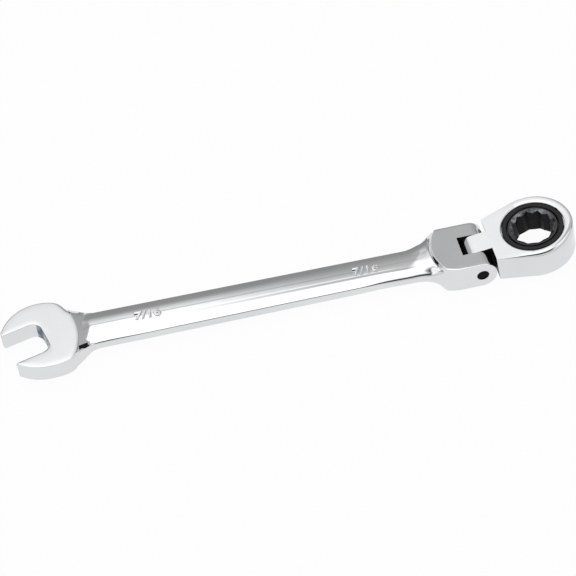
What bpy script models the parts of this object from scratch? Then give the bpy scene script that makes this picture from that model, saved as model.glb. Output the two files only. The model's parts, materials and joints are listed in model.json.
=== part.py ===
"""A 7/16 in flex-head ratcheting combination wrench, as an assembly of its separate pieces.

Metres, +Z up. The wrench lies along X with its ratchet head towards +X, and the head is flexed
up a little, as it was left. The handle frame has its origin on the axis of the flex pin. A root
empty moves that frame so that the origin of the part is under the middle of the wrench.
"""

import math

import bmesh
import bpy
from mathutils import Matrix, Vector

# What the wrench turns, and how far its two ends are from the flex pin
ACROSS_FLATS = 0.01111
PIN_TO_OPEN_END = 0.1302
PIN_TO_SOCKET = 0.01837
REST_FLEX_DEG = 8.6

# Open end
JAW_CLEARANCE = 0.00014
JAW_ANGLE_DEG = 15.0
OPEN_END_RADIUS = 0.01255
OPEN_END_INSET = 0.00063
OPEN_END_SIDE_STEP = 0.00063
OPEN_END_THICKNESS = 0.0055
OPEN_END_EDGE = 0.00025
JAW_TIP_REACH = 0.00995
JAW_TIP_ROUND = 0.0006
THROAT_BEHIND_CENTRE = 0.0015
THROAT_CORNER = 0.0030

# Cove: the arc where the open end's flat face stops and the scoop of the neck starts
COVE_REACH = 0.01075
COVE_RADIUS = 0.0300
COVE_SIDE_STEP = 0.0026

# Neck between the open end and the shank. The jaw's angle makes its front flare the longer one
NECK_REACH = 0.0168
NECK_FRONT_FLARE = 0.0147
NECK_BACK_FLARE = 0.0120
NECK_WIDTH = 0.0226
NECK_THICKNESS = 0.0030
NECK_FRONT_BAND = 0.0052
NECK_BACK_BAND = 0.0018
NECK_SIDE_LENGTH = 0.0075
NECK_RISE_LENGTH = 0.00775
NECK_CREASE_WIDTH = 0.0080

# Shank section: an upright side band, a bevel and a crowned panel on each face
SHANK_WIDTH_AT_NECK = 0.0121
SHANK_WIDTH_AT_FORK = 0.0110
SHANK_SIDE_STEP = 0.00028
SHANK_SIDE_BAND = 0.0026
SHANK_THICKNESS_AT_NECK = 0.0060
SHANK_THICKNESS_AT_FORK = 0.0057
PANEL_WIDTH = 0.0050
PANEL_CROWN = 0.00038

# Fork
FORK_WIDTH = 0.0176
FORK_THICKNESS = 0.00934
FORK_EDGE = 0.00025
FORK_ROOT = 0.0129
FORK_ROOT_BOW = 0.0026
FORK_FRONT_FLARE_LENGTH = 0.0128
FORK_FRONT_FLARE_BEFORE_ROOT = 0.0063
FORK_FLARE_LENGTH = 0.0105
FORK_FLARE_BEFORE_ROOT = 0.0074
FORK_RAMP_LENGTH = 0.0058
FORK_SIDE_LENGTH = 0.0066
FORK_SIDE_BEFORE_ROOT = 0.0038
SLOT_WIDTH = 0.00722
SLOT_FLOOR = 0.00475

# Ratchet head
HEAD_THICKNESS = 0.00916
HEAD_WALL = 0.0025
HEAD_EDGE = 0.0011
FLANK_EDGE = 0.0001
SHOULDER_WIDTH = 0.0168
SHOULDER_CLEARANCE = 0.0002
TANG_CLEARANCE = 0.00009
TANG_STEP = 0.00008

# Flex pin and the spring plunger that stiffens the joint
PIN_RADIUS = 0.00178
PIN_CLEARANCE = 0.00006
PIN_RECESS = 0.00005
PIN_CHAMFER = 0.0002
PLUNGER_RADIUS = 0.0012
PLUNGER_LENGTH = 0.0036
PLUNGER_CLEARANCE = 0.00008
PLUNGER_GAP = 0.0001
PLUNGER_SPRING_LENGTH = 0.0046

# Drive gear. Its rings are given by their thickness, outwards from the socket's points
GEAR_TEETH = 72
GEAR_BAND_WIDTH = 0.00115
GEAR_TOOTH_DEPTH = 0.00045
TOOTH_TIP_SHARE = 0.24
TOOTH_GULLET_SHARE = 0.20
GEAR_BAND_HEIGHT = 0.0063
HUB_WALL = 0.00093
GEAR_RECESS = 0.0001
SOCKET_POINTS = 12
SOCKET_CLEARANCE = 0.00009
SOCKET_MOUTH_RIM = 0.00045
SOCKET_CHAMFER_DEPTH = 0.0011
SOCKET_RUN_OUT = 0.0002
GEAR_BORE_CLEARANCE = 0.0002
GEAR_END_CLEARANCE = 0.00015

# Retaining ring, and the lip that holds the gear on the other face
RING_SEAT_STEP = 0.00065
RING_SEAT_CLEARANCE = 0.0002
RING_HUB_CLEARANCE = 0.00035
RING_RECESS = 0.00008
RING_END_CLEARANCE = 0.0001
SEAT_CHAMFER = 0.0002

# Pawl and its spring
PAWL_TEETH = 7
PAWL_MESH_GAP = 0.0001
PAWL_WIDTH = 0.0064
PAWL_HEIGHT = 0.0059
PAWL_BACK = 0.0063
PAWL_CLEARANCE = 0.00015
PAWL_TRAVEL = 0.0006
PAWL_BACK_CHAMFER = 0.0006
PAWL_SPRING_HOLE_DEPTH = 0.0020
POCKET_SPRING_HOLE_DEPTH = 0.0013

# Coil springs
SPRING_WIRE_RADIUS = 0.00018
SPRING_PITCH = 0.00085
SPRING_SIDE_CLEARANCE = 0.0001
SPRING_END_CLEARANCE = 0.0001
SPRING_RADIUS = 0.00105

# Facets
BIG_ROUND = 72
SMALL_ROUND = 36
COIL_POINTS = 10
CROWN_POINTS = 5
EDGE_STEPS = 3
FLANK_STEPS = 6
NECK_STEPS = 14
SHANK_STEPS = 6
FLARE_STEPS = 16
FORK_STEPS = 10
EAR_TIP_TRIM = 0.1
AXIS_MARK = 0.01
WELD = 1e-6
FLAT = 0.01
REACH_PAST = 0.002

# Sizes that follow from the ones above
REST_FLEX = math.radians(REST_FLEX_DEG)
JAW_ANGLE = math.radians(JAW_ANGLE_DEG)
JAW_GAP = ACROSS_FLATS + JAW_CLEARANCE
SOCKET_FLATS = ACROSS_FLATS + SOCKET_CLEARANCE
EAR_RADIUS = FORK_THICKNESS / 2
SHOULDER = EAR_RADIUS + SHOULDER_CLEARANCE
TANG_WIDTH = SLOT_WIDTH - 2 * TANG_CLEARANCE
TANG_RADIUS = HEAD_THICKNESS / 2 - TANG_STEP
PIN_HOLE_RADIUS = PIN_RADIUS + PIN_CLEARANCE
SOCKET_POINT_RADIUS = SOCKET_FLATS / 2 / math.cos(math.tau / SOCKET_POINTS)
GEAR_HUB_RADIUS = SOCKET_POINT_RADIUS + HUB_WALL
SOCKET_MOUTH_RADIUS = GEAR_HUB_RADIUS - SOCKET_MOUTH_RIM
GEAR_TIP_RADIUS = GEAR_HUB_RADIUS + GEAR_BAND_WIDTH
GEAR_ROOT_RADIUS = GEAR_TIP_RADIUS - GEAR_TOOTH_DEPTH
GEAR_BORE_RADIUS = GEAR_TIP_RADIUS + GEAR_BORE_CLEARANCE
RING_INNER_RADIUS = GEAR_HUB_RADIUS + RING_HUB_CLEARANCE
RING_SEAT_RADIUS = GEAR_BORE_RADIUS + RING_SEAT_STEP
RING_SEAT_HEIGHT = GEAR_BAND_HEIGHT / 2 + GEAR_END_CLEARANCE
HEAD_RING_RADIUS = RING_SEAT_RADIUS + HEAD_WALL
PLUNGER_TIP = TANG_RADIUS + PLUNGER_GAP
PLUNGER_BORE_RADIUS = PLUNGER_RADIUS + PLUNGER_CLEARANCE
PLUNGER_BORE_END = PLUNGER_TIP + PLUNGER_LENGTH + PLUNGER_SPRING_LENGTH + 2 * SPRING_END_CLEARANCE
POCKET_BACK = PAWL_BACK - PAWL_TRAVEL - PAWL_CLEARANCE
SPRING_HOLE_RADIUS = SPRING_RADIUS + SPRING_WIRE_RADIUS + SPRING_SIDE_CLEARANCE

CHROME = ((0.80, 0.81, 0.83), 0.12, 1.0)
BLACK_OXIDE = ((0.022, 0.022, 0.024), 0.42, 0.8)
SPRING_STEEL = ((0.35, 0.35, 0.36), 0.3, 1.0)


def new_collection(name):
    collection = bpy.data.collections.new(name)
    bpy.context.scene.collection.children.link(collection)
    return collection


def new_empty(name, collection, parent=None):
    empty = bpy.data.objects.new(name, None)
    empty.empty_display_size = AXIS_MARK
    collection.objects.link(empty)
    empty.parent = parent
    return empty


def new_material(name, finish):
    colour, roughness, metallic = finish
    material = bpy.data.materials.new(name)
    material.use_nodes = True
    shader = material.node_tree.nodes["Principled BSDF"]
    shader.inputs["Base Color"].default_value = (*colour, 1.0)
    shader.inputs["Roughness"].default_value = roughness
    shader.inputs["Metallic"].default_value = metallic
    return material


def finish_piece(piece, collection, parent, finish):
    """Files a finished piece under its parent, with a material of its own."""
    collection.objects.link(piece)
    piece.parent = parent
    piece.data.materials.clear()
    piece.data.materials.append(new_material(piece.name, finish))
    return piece


def combine(piece, tool, operation, collection, parent):
    """Cuts a tool from a piece, or joins it to the piece, and files the tool away."""
    collection.objects.link(tool)
    tool.parent = parent
    tool.hide_render = True
    tool.display_type = "WIRE"
    modifier = piece.modifiers.new(tool.name, "BOOLEAN")
    modifier.operation = operation
    modifier.solver = "EXACT"
    modifier.object = tool


def welded_mesh(drawn):
    """The mesh of a curve object, with its caps welded on and flat. The curve is removed."""
    scene_objects = bpy.context.scene.collection.objects
    scene_objects.link(drawn)
    seen = drawn.evaluated_get(bpy.context.evaluated_depsgraph_get())
    mesh = bpy.data.meshes.new_from_object(seen)
    bpy.data.objects.remove(drawn)
    shape = bmesh.new()
    shape.from_mesh(mesh)
    bmesh.ops.remove_doubles(shape, verts=shape.verts, dist=WELD)
    bmesh.ops.dissolve_limit(shape, angle_limit=FLAT, verts=shape.verts, edges=shape.edges)
    bmesh.ops.recalc_face_normals(shape, faces=shape.faces)
    shape.to_mesh(mesh)
    shape.free()
    return mesh


def flat_solid(name, outline, low, high):
    """A flat outline in X and Y, filled and extruded from low to high."""
    curve = bpy.data.curves.new(name, "CURVE")
    curve.dimensions = "2D"
    curve.fill_mode = "BOTH"
    curve.extrude = (high - low) / 2
    spline = curve.splines.new("POLY")
    spline.points.add(len(outline) - 1)
    for point, (x, y) in zip(spline.points, outline):
        point.co = (x, y, 0.0, 1.0)
    spline.use_cyclic_u = True
    mesh = welded_mesh(bpy.data.objects.new(name + "_outline", curve))
    mesh.transform(Matrix.Translation((0.0, 0.0, (low + high) / 2)))
    return bpy.data.objects.new(name, mesh)


def turned_solid(name, profile, steps, closed=False):
    """A profile of (radius, height) points turned about Z. It runs down its outer side."""
    mesh = bpy.data.meshes.new(name)
    shape = bmesh.new()
    points = [shape.verts.new((radius, 0.0, height)) for radius, height in profile]
    for first, second in zip(points, points[1:]):
        shape.edges.new((first, second))
    if closed:
        shape.edges.new((points[-1], points[0]))
    shape.to_mesh(mesh)
    shape.free()
    piece = bpy.data.objects.new(name, mesh)
    screw = piece.modifiers.new("turn", "SCREW")
    screw.axis = "Z"
    screw.angle = math.tau
    screw.steps = steps
    screw.render_steps = steps
    screw.use_merge_vertices = True
    screw.merge_threshold = WELD
    screw.use_smooth_shade = False
    return piece


def rod(name, radius, low, high, steps):
    """A plain round rod along Z."""
    profile = [(0.0, high), (radius, high), (radius, low), (0.0, low)]
    return turned_solid(name, profile, steps)


def block(name, low, high):
    """A box between two corners."""
    mesh = bpy.data.meshes.new(name)
    shape = bmesh.new()
    bmesh.ops.create_cube(shape, size=1.0)
    size = Vector(high) - Vector(low)
    middle = (Vector(high) + Vector(low)) / 2
    bmesh.ops.scale(shape, vec=size, verts=shape.verts)
    bmesh.ops.translate(shape, vec=middle, verts=shape.verts)
    shape.to_mesh(mesh)
    shape.free()
    return bpy.data.objects.new(name, mesh)


def lay_along_x(piece):
    """Turns a piece made along Z so that its height runs along +X."""
    piece.rotation_euler = (0.0, math.pi / 2, 0.0)
    return piece


def lay_along_y(piece):
    """Turns a piece made along Z so that its height runs along Y."""
    piece.rotation_euler = (math.pi / 2, 0.0, 0.0)
    return piece


def arc(centre, radius, start, end, full_circle):
    """Points along an arc, both ends included, at a whole circle's count of facets."""
    count = max(2, round(abs(end - start) / math.tau * full_circle))
    angles = [start + (end - start) * step / count for step in range(count + 1)]
    return [(centre[0] + radius * math.cos(a), centre[1] + radius * math.sin(a)) for a in angles]


def share_of(value, start, end):
    """How far a value is from start to end, from 0 to 1."""
    return min(max((value - start) / (end - start), 0.0), 1.0)


def ease(value, start, end):
    """A smooth step from 0 at start to 1 at end."""
    share = share_of(value, start, end)
    return share * share * (3.0 - 2.0 * share)


def mix(first, second, share):
    return first + (second - first) * share


def rounded_plate(name, outline, thickness, edge_radius):
    """A flat plate, made from an outline that runs anticlockwise, with rounded edges.

    edge_radius gives the radius of the edge at a point of the outline, so that a round can fade
    away along the outline, which a bevel of one width can't do.
    """
    half = thickness / 2
    count = len(outline)
    corners = [Vector(point) for point in outline]
    levels = [math.pi / 2 * step / EDGE_STEPS for step in range(EDGE_STEPS + 1)]
    columns = []
    for i, corner in enumerate(corners):
        along = corners[(i + 1) % count] - corners[i - 1]
        outward = Vector((along.y, -along.x)).normalized()
        radius = edge_radius(corner)
        column = []
        for angle in levels:
            place = corner - outward * radius * (1.0 - math.sin(angle))
            column.append((place.x, place.y, half - radius * (1.0 - math.cos(angle))))
        columns.append(column + [(x, y, -z) for x, y, z in reversed(column)])
    shape = bmesh.new()
    grid = [[shape.verts.new(place) for place in column] for column in columns]
    for i, column in enumerate(grid):
        after = grid[(i + 1) % count]
        for k in range(len(column) - 1):
            shape.faces.new((column[k], column[k + 1], after[k + 1], after[k]))
    shape.faces.new([column[0] for column in grid])
    shape.faces.new([column[-1] for column in reversed(grid)])
    bmesh.ops.recalc_face_normals(shape, faces=shape.faces)
    mesh = bpy.data.meshes.new(name)
    shape.to_mesh(mesh)
    shape.free()
    return bpy.data.objects.new(name, mesh)


def jaw_frame():
    """The open end's centre, its mouth direction and the direction across the mouth."""
    centre = Vector((-PIN_TO_OPEN_END, 0.0))
    mouth = Vector((-math.cos(JAW_ANGLE), -math.sin(JAW_ANGLE)))
    across = Vector((-mouth.y, mouth.x))
    return centre, mouth, across


def jaw_points(local):
    """Points given along and across the mouth, in the handle frame."""
    centre, mouth, across = jaw_frame()
    return [tuple(centre + mouth * ahead + across * side) for ahead, side in local]


def open_end_blank():
    """The round plate of the open end. The cove cuts it off behind, and the jaws' ends in front."""
    jaw_centre, mouth, across = jaw_frame()
    step = Vector((OPEN_END_INSET, OPEN_END_SIDE_STEP))
    centre = jaw_centre + step
    cove = jaw_centre + Vector((COVE_REACH - COVE_RADIUS, -COVE_SIDE_STEP))
    from_cove = centre - cove
    tip_angle = math.acos((JAW_TIP_REACH - step.dot(mouth)) / OPEN_END_RADIUS)
    outline = []
    for x, y in arc((0.0, 0.0), 1.0, tip_angle, math.tau - tip_angle, BIG_ROUND):
        away = mouth * x + across * y
        along = from_cove.dot(away)
        to_cove = math.sqrt(along**2 - from_cove.length_squared + COVE_RADIUS**2) - along
        outline.append(tuple(centre + away * min(OPEN_END_RADIUS, to_cove)))
    return rounded_plate("open_end_blank", outline, OPEN_END_THICKNESS, lambda corner: OPEN_END_EDGE)


def jaw_cutter():
    """The space between the jaws, with round throat corners and round lips at the tips."""
    half_gap = JAW_GAP / 2
    floor = -THROAT_BEHIND_CENTRE
    corner = floor + THROAT_CORNER
    side = half_gap - THROAT_CORNER
    lip = JAW_TIP_REACH - JAW_TIP_ROUND
    lip_side = half_gap + JAW_TIP_ROUND
    past = JAW_TIP_REACH + REACH_PAST
    quarter = math.pi / 2
    upper = arc((corner, side), THROAT_CORNER, 2 * quarter, quarter, SMALL_ROUND)
    upper += arc((lip, lip_side), JAW_TIP_ROUND, -quarter, 0.0, SMALL_ROUND)
    upper += [(past, lip_side)]
    lower = [(ahead, -across) for ahead, across in reversed(upper)]
    half = OPEN_END_THICKNESS / 2 + REACH_PAST
    return flat_solid("jaw_cutter", jaw_points(upper + lower), -half, half)


def handle_section(x):
    """The section at x: front and back as (half-width, side band, crease), crease height, crown."""
    fork_half = FORK_THICKNESS / 2
    neck_end = NECK_REACH - PIN_TO_OPEN_END
    ramp_start = -FORK_ROOT - FORK_RAMP_LENGTH
    front_flare_start = -FORK_ROOT - FORK_FRONT_FLARE_BEFORE_ROOT
    back_flare_start = -FORK_ROOT - FORK_FLARE_BEFORE_ROOT
    side_start = -FORK_ROOT - FORK_SIDE_BEFORE_ROOT

    neck_front = ease(x, neck_end, neck_end - NECK_FRONT_FLARE)
    neck_back = ease(x, neck_end, neck_end - NECK_BACK_FLARE)
    dip = share_of(x, neck_end, neck_end - NECK_RISE_LENGTH) ** 2
    neck_side = ease(x, neck_end, neck_end - NECK_SIDE_LENGTH)
    taper = share_of(x, neck_end, -FORK_ROOT)
    ramp = share_of(x, ramp_start, -FORK_ROOT)
    flat = ease(x, ramp_start, -FORK_ROOT)
    front_flare = ease(x, front_flare_start, front_flare_start + FORK_FRONT_FLARE_LENGTH)
    back_flare = ease(x, back_flare_start, back_flare_start + FORK_FLARE_LENGTH)
    side = ease(x, side_start, side_start + FORK_SIDE_LENGTH)

    width = mix(SHANK_WIDTH_AT_NECK, SHANK_WIDTH_AT_FORK, taper) / 2
    front = mix(width - SHANK_SIDE_STEP, FORK_WIDTH / 2, front_flare)
    back = mix(width + SHANK_SIDE_STEP, FORK_WIDTH / 2, back_flare)
    front = mix(front, NECK_WIDTH / 2, neck_front)
    back = mix(back, NECK_WIDTH / 2, neck_back)
    crown = mix(SHANK_THICKNESS_AT_NECK, SHANK_THICKNESS_AT_FORK, taper) / 2
    crown = mix(crown, NECK_THICKNESS / 2, dip)
    crown = mix(crown, fork_half, ramp * ramp)
    crease_height = crown - PANEL_CROWN * (1.0 - flat) * (1.0 - dip)
    crease = mix(PANEL_WIDTH / 2, NECK_CREASE_WIDTH / 2, dip)
    front_crease = mix(crease, FORK_WIDTH / 2 - FORK_EDGE, front_flare)
    back_crease = mix(crease, FORK_WIDTH / 2 - FORK_EDGE, back_flare)
    front_band = mix(SHANK_SIDE_BAND / 2, NECK_FRONT_BAND / 2, neck_side)
    back_band = mix(SHANK_SIDE_BAND / 2, NECK_BACK_BAND / 2, neck_side)
    front_band = mix(front_band, fork_half - FORK_EDGE, side)
    back_band = mix(back_band, fork_half - FORK_EDGE, side)
    if x > 0.0:
        crown = math.sqrt(max(fork_half**2 - x * x, 0.0))
        crease_height = crown
        front_band = crown * (1.0 - FORK_EDGE / fork_half)
        back_band = front_band
    front_side = (front, front_band, front_crease)
    back_side = (back, back_band, back_crease)
    return front_side, back_side, crease_height, crown


def section_ring(x):
    """The points round the handle's section at x, with the fork root's bowed edge."""
    front_side, back_side, crease_height, crown = handle_section(x)
    front, front_band, front_crease = front_side
    back, back_band, back_crease = back_side
    top = [(back, back_band)]
    for step in range(CROWN_POINTS):
        share = 1.0 - 2.0 * step / (CROWN_POINTS - 1)
        crease = back_crease if share > 0.0 else front_crease
        top.append((crease * share, mix(crown, crease_height, share * share)))
    top.append((-front, front_band))
    ring = top + [(y, -z) for y, z in reversed(top)]
    bow_start = -FORK_ROOT - FORK_FLARE_LENGTH
    bow = ease(x, bow_start, -FORK_ROOT) * ease(x, -SLOT_FLOOR, -FORK_ROOT)
    reach = FORK_WIDTH / 2 + FORK_EDGE
    bowed = []
    for y, z in ring:
        across = min(abs(y) / reach, 1.0)
        shift = FORK_ROOT_BOW * bow * (1.0 - math.sqrt(1.0 - across * across))
        bowed.append((x + shift, y, z))
    return bowed


def handle_stations():
    """Places along the handle where its section is drawn, close together where it changes."""

    def spread(start, end, count):
        return [mix(start, end, step / count) for step in range(count)]

    neck_end = NECK_REACH - PIN_TO_OPEN_END
    neck_start = neck_end - NECK_FRONT_FLARE
    flare_start = -FORK_ROOT - FORK_FLARE_LENGTH
    stations = [-PIN_TO_OPEN_END]
    stations += spread(neck_start, neck_end, NECK_STEPS)
    stations += spread(neck_end, flare_start, SHANK_STEPS)
    stations += spread(flare_start, -FORK_ROOT, FLARE_STEPS)
    stations += spread(-FORK_ROOT, -SLOT_FLOOR, FORK_STEPS)
    stations += [-SLOT_FLOOR]
    ear_steps = SMALL_ROUND // 4
    angles = [math.pi / 2 * step / ear_steps for step in range(ear_steps)]
    stations += [EAR_RADIUS * math.sin(angle) for angle in angles]
    last = math.pi / 2 * (1.0 - EAR_TIP_TRIM / ear_steps)
    return stations + [EAR_RADIUS * math.sin(last)]


def forged_shank():
    """The neck, shank and fork as one loft through unlike sections."""
    shape = bmesh.new()
    rings = [[shape.verts.new(p) for p in section_ring(x)] for x in handle_stations()]
    for near, far in zip(rings, rings[1:]):
        for i in range(len(near)):
            j = (i + 1) % len(near)
            shape.faces.new((near[i], near[j], far[j], far[i]))
    shape.faces.new(rings[0])
    shape.faces.new(rings[-1])
    bmesh.ops.recalc_face_normals(shape, faces=shape.faces)
    mesh = bpy.data.meshes.new("handle")
    shape.to_mesh(mesh)
    shape.free()
    return bpy.data.objects.new("handle", mesh)


def build_handle(parts, cutters, root):
    handle = finish_piece(forged_shank(), parts, root, CHROME)
    far = FORK_WIDTH
    slot = block("slot_cutter", (-SLOT_FLOOR, -SLOT_WIDTH / 2, -far), (far, SLOT_WIDTH / 2, far))
    pin_hole = lay_along_y(rod("ear_hole_cutter", PIN_HOLE_RADIUS, -far, far, SMALL_ROUND))
    bore = rod("plunger_bore_cutter", PLUNGER_BORE_RADIUS, -PLUNGER_BORE_END, 0.0, SMALL_ROUND)
    combine(handle, open_end_blank(), "UNION", cutters, root)
    combine(handle, jaw_cutter(), "DIFFERENCE", cutters, root)
    combine(handle, slot, "DIFFERENCE", cutters, root)
    combine(handle, pin_hole, "DIFFERENCE", cutters, root)
    combine(handle, lay_along_x(bore), "DIFFERENCE", cutters, root)


def head_body():
    """The ring and its straight flanks. The ring's round edges fade out along the flanks."""
    half_shoulder = SHOULDER_WIDTH / 2
    back = PIN_TO_SOCKET - SHOULDER
    reach = math.hypot(back, half_shoulder)
    touch = math.atan2(half_shoulder, -back) - math.acos(HEAD_RING_RADIUS / reach)
    ring = arc((PIN_TO_SOCKET, 0.0), HEAD_RING_RADIUS, -touch, touch, BIG_ROUND)
    corner = Vector((SHOULDER, half_shoulder))
    flank = [corner.lerp(Vector(ring[-1]), step / FLANK_STEPS) for step in range(FLANK_STEPS)]
    outline = [(x, -y) for x, y in flank] + ring + [(x, y) for x, y in reversed(flank)]

    def edge_radius(place):
        return mix(FLANK_EDGE, HEAD_EDGE, ease(place.x, SHOULDER, PIN_TO_SOCKET))

    return rounded_plate("ratchet_head", outline, HEAD_THICKNESS, edge_radius)


def tang():
    """The tongue between the fork's ears, with a round knuckle about the pin."""
    quarter = math.pi / 2
    inside = SHOULDER + REACH_PAST
    profile = [(inside, -TANG_RADIUS)]
    profile += arc((0.0, 0.0), TANG_RADIUS, -quarter, -3 * quarter, SMALL_ROUND)
    profile += [(inside, TANG_RADIUS)]
    return lay_along_y(flat_solid("tang", profile, -TANG_WIDTH / 2, TANG_WIDTH / 2))


def gear_cavity():
    """The stepped bore for the gear: ring seat above, gear bore, and the lip's opening below."""
    half = HEAD_THICKNESS / 2
    profile = [
        (0.0, half + REACH_PAST),
        (RING_SEAT_RADIUS + SEAT_CHAMFER + REACH_PAST, half + REACH_PAST),
        (RING_SEAT_RADIUS, half - SEAT_CHAMFER),
        (RING_SEAT_RADIUS, RING_SEAT_HEIGHT),
        (GEAR_BORE_RADIUS, RING_SEAT_HEIGHT),
        (GEAR_BORE_RADIUS, -RING_SEAT_HEIGHT),
        (RING_INNER_RADIUS, -RING_SEAT_HEIGHT),
        (RING_INNER_RADIUS, -half - REACH_PAST),
        (0.0, -half - REACH_PAST),
    ]
    cutter = turned_solid("gear_cavity_cutter", profile, BIG_ROUND)
    cutter.location = (PIN_TO_SOCKET, 0.0, 0.0)
    return cutter


def build_head(parts, cutters, flex):
    head = finish_piece(head_body(), parts, flex, CHROME)
    half_width = PAWL_WIDTH / 2 + PAWL_CLEARANCE
    half_height = PAWL_HEIGHT / 2 + PAWL_CLEARANCE
    pocket_mouth = PIN_TO_SOCKET - GEAR_ROOT_RADIUS
    pocket = block(
        "pawl_pocket_cutter",
        (POCKET_BACK, -half_width, -half_height),
        (pocket_mouth, half_width, half_height),
    )
    hole_floor = POCKET_BACK - POCKET_SPRING_HOLE_DEPTH
    spring_hole = rod("pocket_spring_cutter", SPRING_HOLE_RADIUS, hole_floor, PAWL_BACK, SMALL_ROUND)
    pin_hole = rod("tang_hole_cutter", PIN_HOLE_RADIUS, -TANG_WIDTH, TANG_WIDTH, SMALL_ROUND)
    combine(head, tang(), "UNION", cutters, flex)
    combine(head, gear_cavity(), "DIFFERENCE", cutters, flex)
    combine(head, pocket, "DIFFERENCE", cutters, flex)
    combine(head, lay_along_x(spring_hole), "DIFFERENCE", cutters, flex)
    combine(head, lay_along_y(pin_hole), "DIFFERENCE", cutters, flex)


def build_pin(parts, root):
    half = FORK_WIDTH / 2 - PIN_RECESS
    profile = [
        (0.0, half),
        (PIN_RADIUS - PIN_CHAMFER, half),
        (PIN_RADIUS, half - PIN_CHAMFER),
        (PIN_RADIUS, -half + PIN_CHAMFER),
        (PIN_RADIUS - PIN_CHAMFER, -half),
        (0.0, -half),
    ]
    pin = lay_along_y(turned_solid("flex_pin", profile, SMALL_ROUND))
    finish_piece(pin, parts, root, BLACK_OXIDE)


def build_plunger(parts, root):
    """The spring plunger in the slot floor. Its domed nose presses on the round knuckle."""
    nose = arc((0.0, -PLUNGER_RADIUS), PLUNGER_RADIUS, math.pi / 2, 0.0, SMALL_ROUND)
    profile = nose + [(PLUNGER_RADIUS, -PLUNGER_LENGTH), (0.0, -PLUNGER_LENGTH)]
    profile[0] = (0.0, 0.0)
    plunger = lay_along_x(turned_solid("flex_plunger", profile, SMALL_ROUND))
    plunger.location = (-PLUNGER_TIP, 0.0, 0.0)
    finish_piece(plunger, parts, root, SPRING_STEEL)


def coil_spring(name, length):
    """A compression spring along +X from the origin, drawn as one unbroken wire."""
    run = length - 2 * SPRING_WIRE_RADIUS
    steps = round(run / SPRING_PITCH * COIL_POINTS)
    points = []
    for step in range(steps + 1):
        turn = math.tau * step / COIL_POINTS
        along = SPRING_WIRE_RADIUS + run * step / steps
        points.append((along, SPRING_RADIUS * math.cos(turn), SPRING_RADIUS * math.sin(turn)))
    curve = bpy.data.curves.new(name, "CURVE")
    curve.dimensions = "3D"
    curve.bevel_depth = SPRING_WIRE_RADIUS
    curve.bevel_resolution = 1
    curve.use_fill_caps = True
    spline = curve.splines.new("POLY")
    spline.points.add(len(points) - 1)
    for point, place in zip(spline.points, points):
        point.co = (*place, 1.0)
    gap = run / steps * COIL_POINTS - 2 * SPRING_WIRE_RADIUS
    print(f"{name}: least gap between turns {gap * 1000:.2f} mm")
    return bpy.data.objects.new(name, curve)


def build_plunger_spring(parts, root):
    spring = coil_spring("plunger_spring", PLUNGER_SPRING_LENGTH)
    spring.location = (-PLUNGER_BORE_END + SPRING_END_CLEARANCE, 0.0, 0.0)
    finish_piece(spring, parts, root, SPRING_STEEL)


def tooth_points(first_tooth, last_tooth, tip_radius, root_radius):
    """Tips and gullets of a run of teeth about Z. Tooth 0 points along -X."""
    pitch = math.tau / GEAR_TEETH
    tip = TOOTH_TIP_SHARE / 2
    gullet = TOOTH_GULLET_SHARE / 2
    corners = [(-tip, tip_radius), (tip, tip_radius)]
    corners += [(0.5 - gullet, root_radius), (0.5 + gullet, root_radius)]
    points = []
    for tooth in range(first_tooth, last_tooth):
        for share, radius in corners:
            angle = math.pi + (tooth + share) * pitch
            points.append((radius * math.cos(angle), radius * math.sin(angle)))
    return points


def twelve_point_outline():
    """Two hexagons a twelfth of a turn apart, as one outline of points and valleys."""
    turn = math.pi / SOCKET_POINTS
    valley = SOCKET_FLATS / 2 / math.cos(turn)
    outline = []
    for step in range(2 * SOCKET_POINTS):
        angle = turn * step
        radius = SOCKET_POINT_RADIUS if step % 2 == 0 else valley
        outline.append((radius * math.cos(angle), radius * math.sin(angle)))
    return outline


def gear_hub():
    """The gear's hub as a turned tube, with a conical lead-in at each end of the socket."""
    half = HEAD_THICKNESS / 2 - GEAR_RECESS
    cone_end = half - SOCKET_CHAMFER_DEPTH
    bore = SOCKET_FLATS / 2 - SOCKET_RUN_OUT
    profile = [
        (SOCKET_MOUTH_RADIUS, half),
        (GEAR_HUB_RADIUS, half),
        (GEAR_HUB_RADIUS, -half),
        (SOCKET_MOUTH_RADIUS, -half),
        (bore, -cone_end),
        (bore, cone_end),
    ]
    return turned_solid("gear_hub", profile, BIG_ROUND, closed=True)


def build_gear(parts, cutters, socket):
    """The toothed band, with its hub joined on and the twelve-point socket broached through."""
    band = GEAR_BAND_HEIGHT / 2
    teeth = tooth_points(0, GEAR_TEETH, GEAR_TIP_RADIUS, GEAR_ROOT_RADIUS)
    gear = finish_piece(flat_solid("drive_gear", teeth, -band, band), parts, socket, BLACK_OXIDE)
    past = HEAD_THICKNESS / 2 + REACH_PAST
    broach = flat_solid("broach_cutter", twelve_point_outline(), -past, past)
    combine(gear, gear_hub(), "UNION", cutters, socket)
    combine(gear, broach, "DIFFERENCE", cutters, socket)


def build_retaining_ring(parts, flex):
    top = HEAD_THICKNESS / 2 - RING_RECESS
    bottom = RING_SEAT_HEIGHT + RING_END_CLEARANCE
    outer = RING_SEAT_RADIUS - RING_SEAT_CLEARANCE
    chamfer = SEAT_CHAMFER
    profile = [
        (RING_INNER_RADIUS, top - chamfer),
        (RING_INNER_RADIUS + chamfer, top),
        (outer - chamfer, top),
        (outer, top - chamfer),
        (outer, bottom),
        (RING_INNER_RADIUS, bottom),
    ]
    ring = turned_solid("retaining_ring", profile, BIG_ROUND, closed=True)
    ring.location = (PIN_TO_SOCKET, 0.0, 0.0)
    finish_piece(ring, parts, flex, BLACK_OXIDE)


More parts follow.
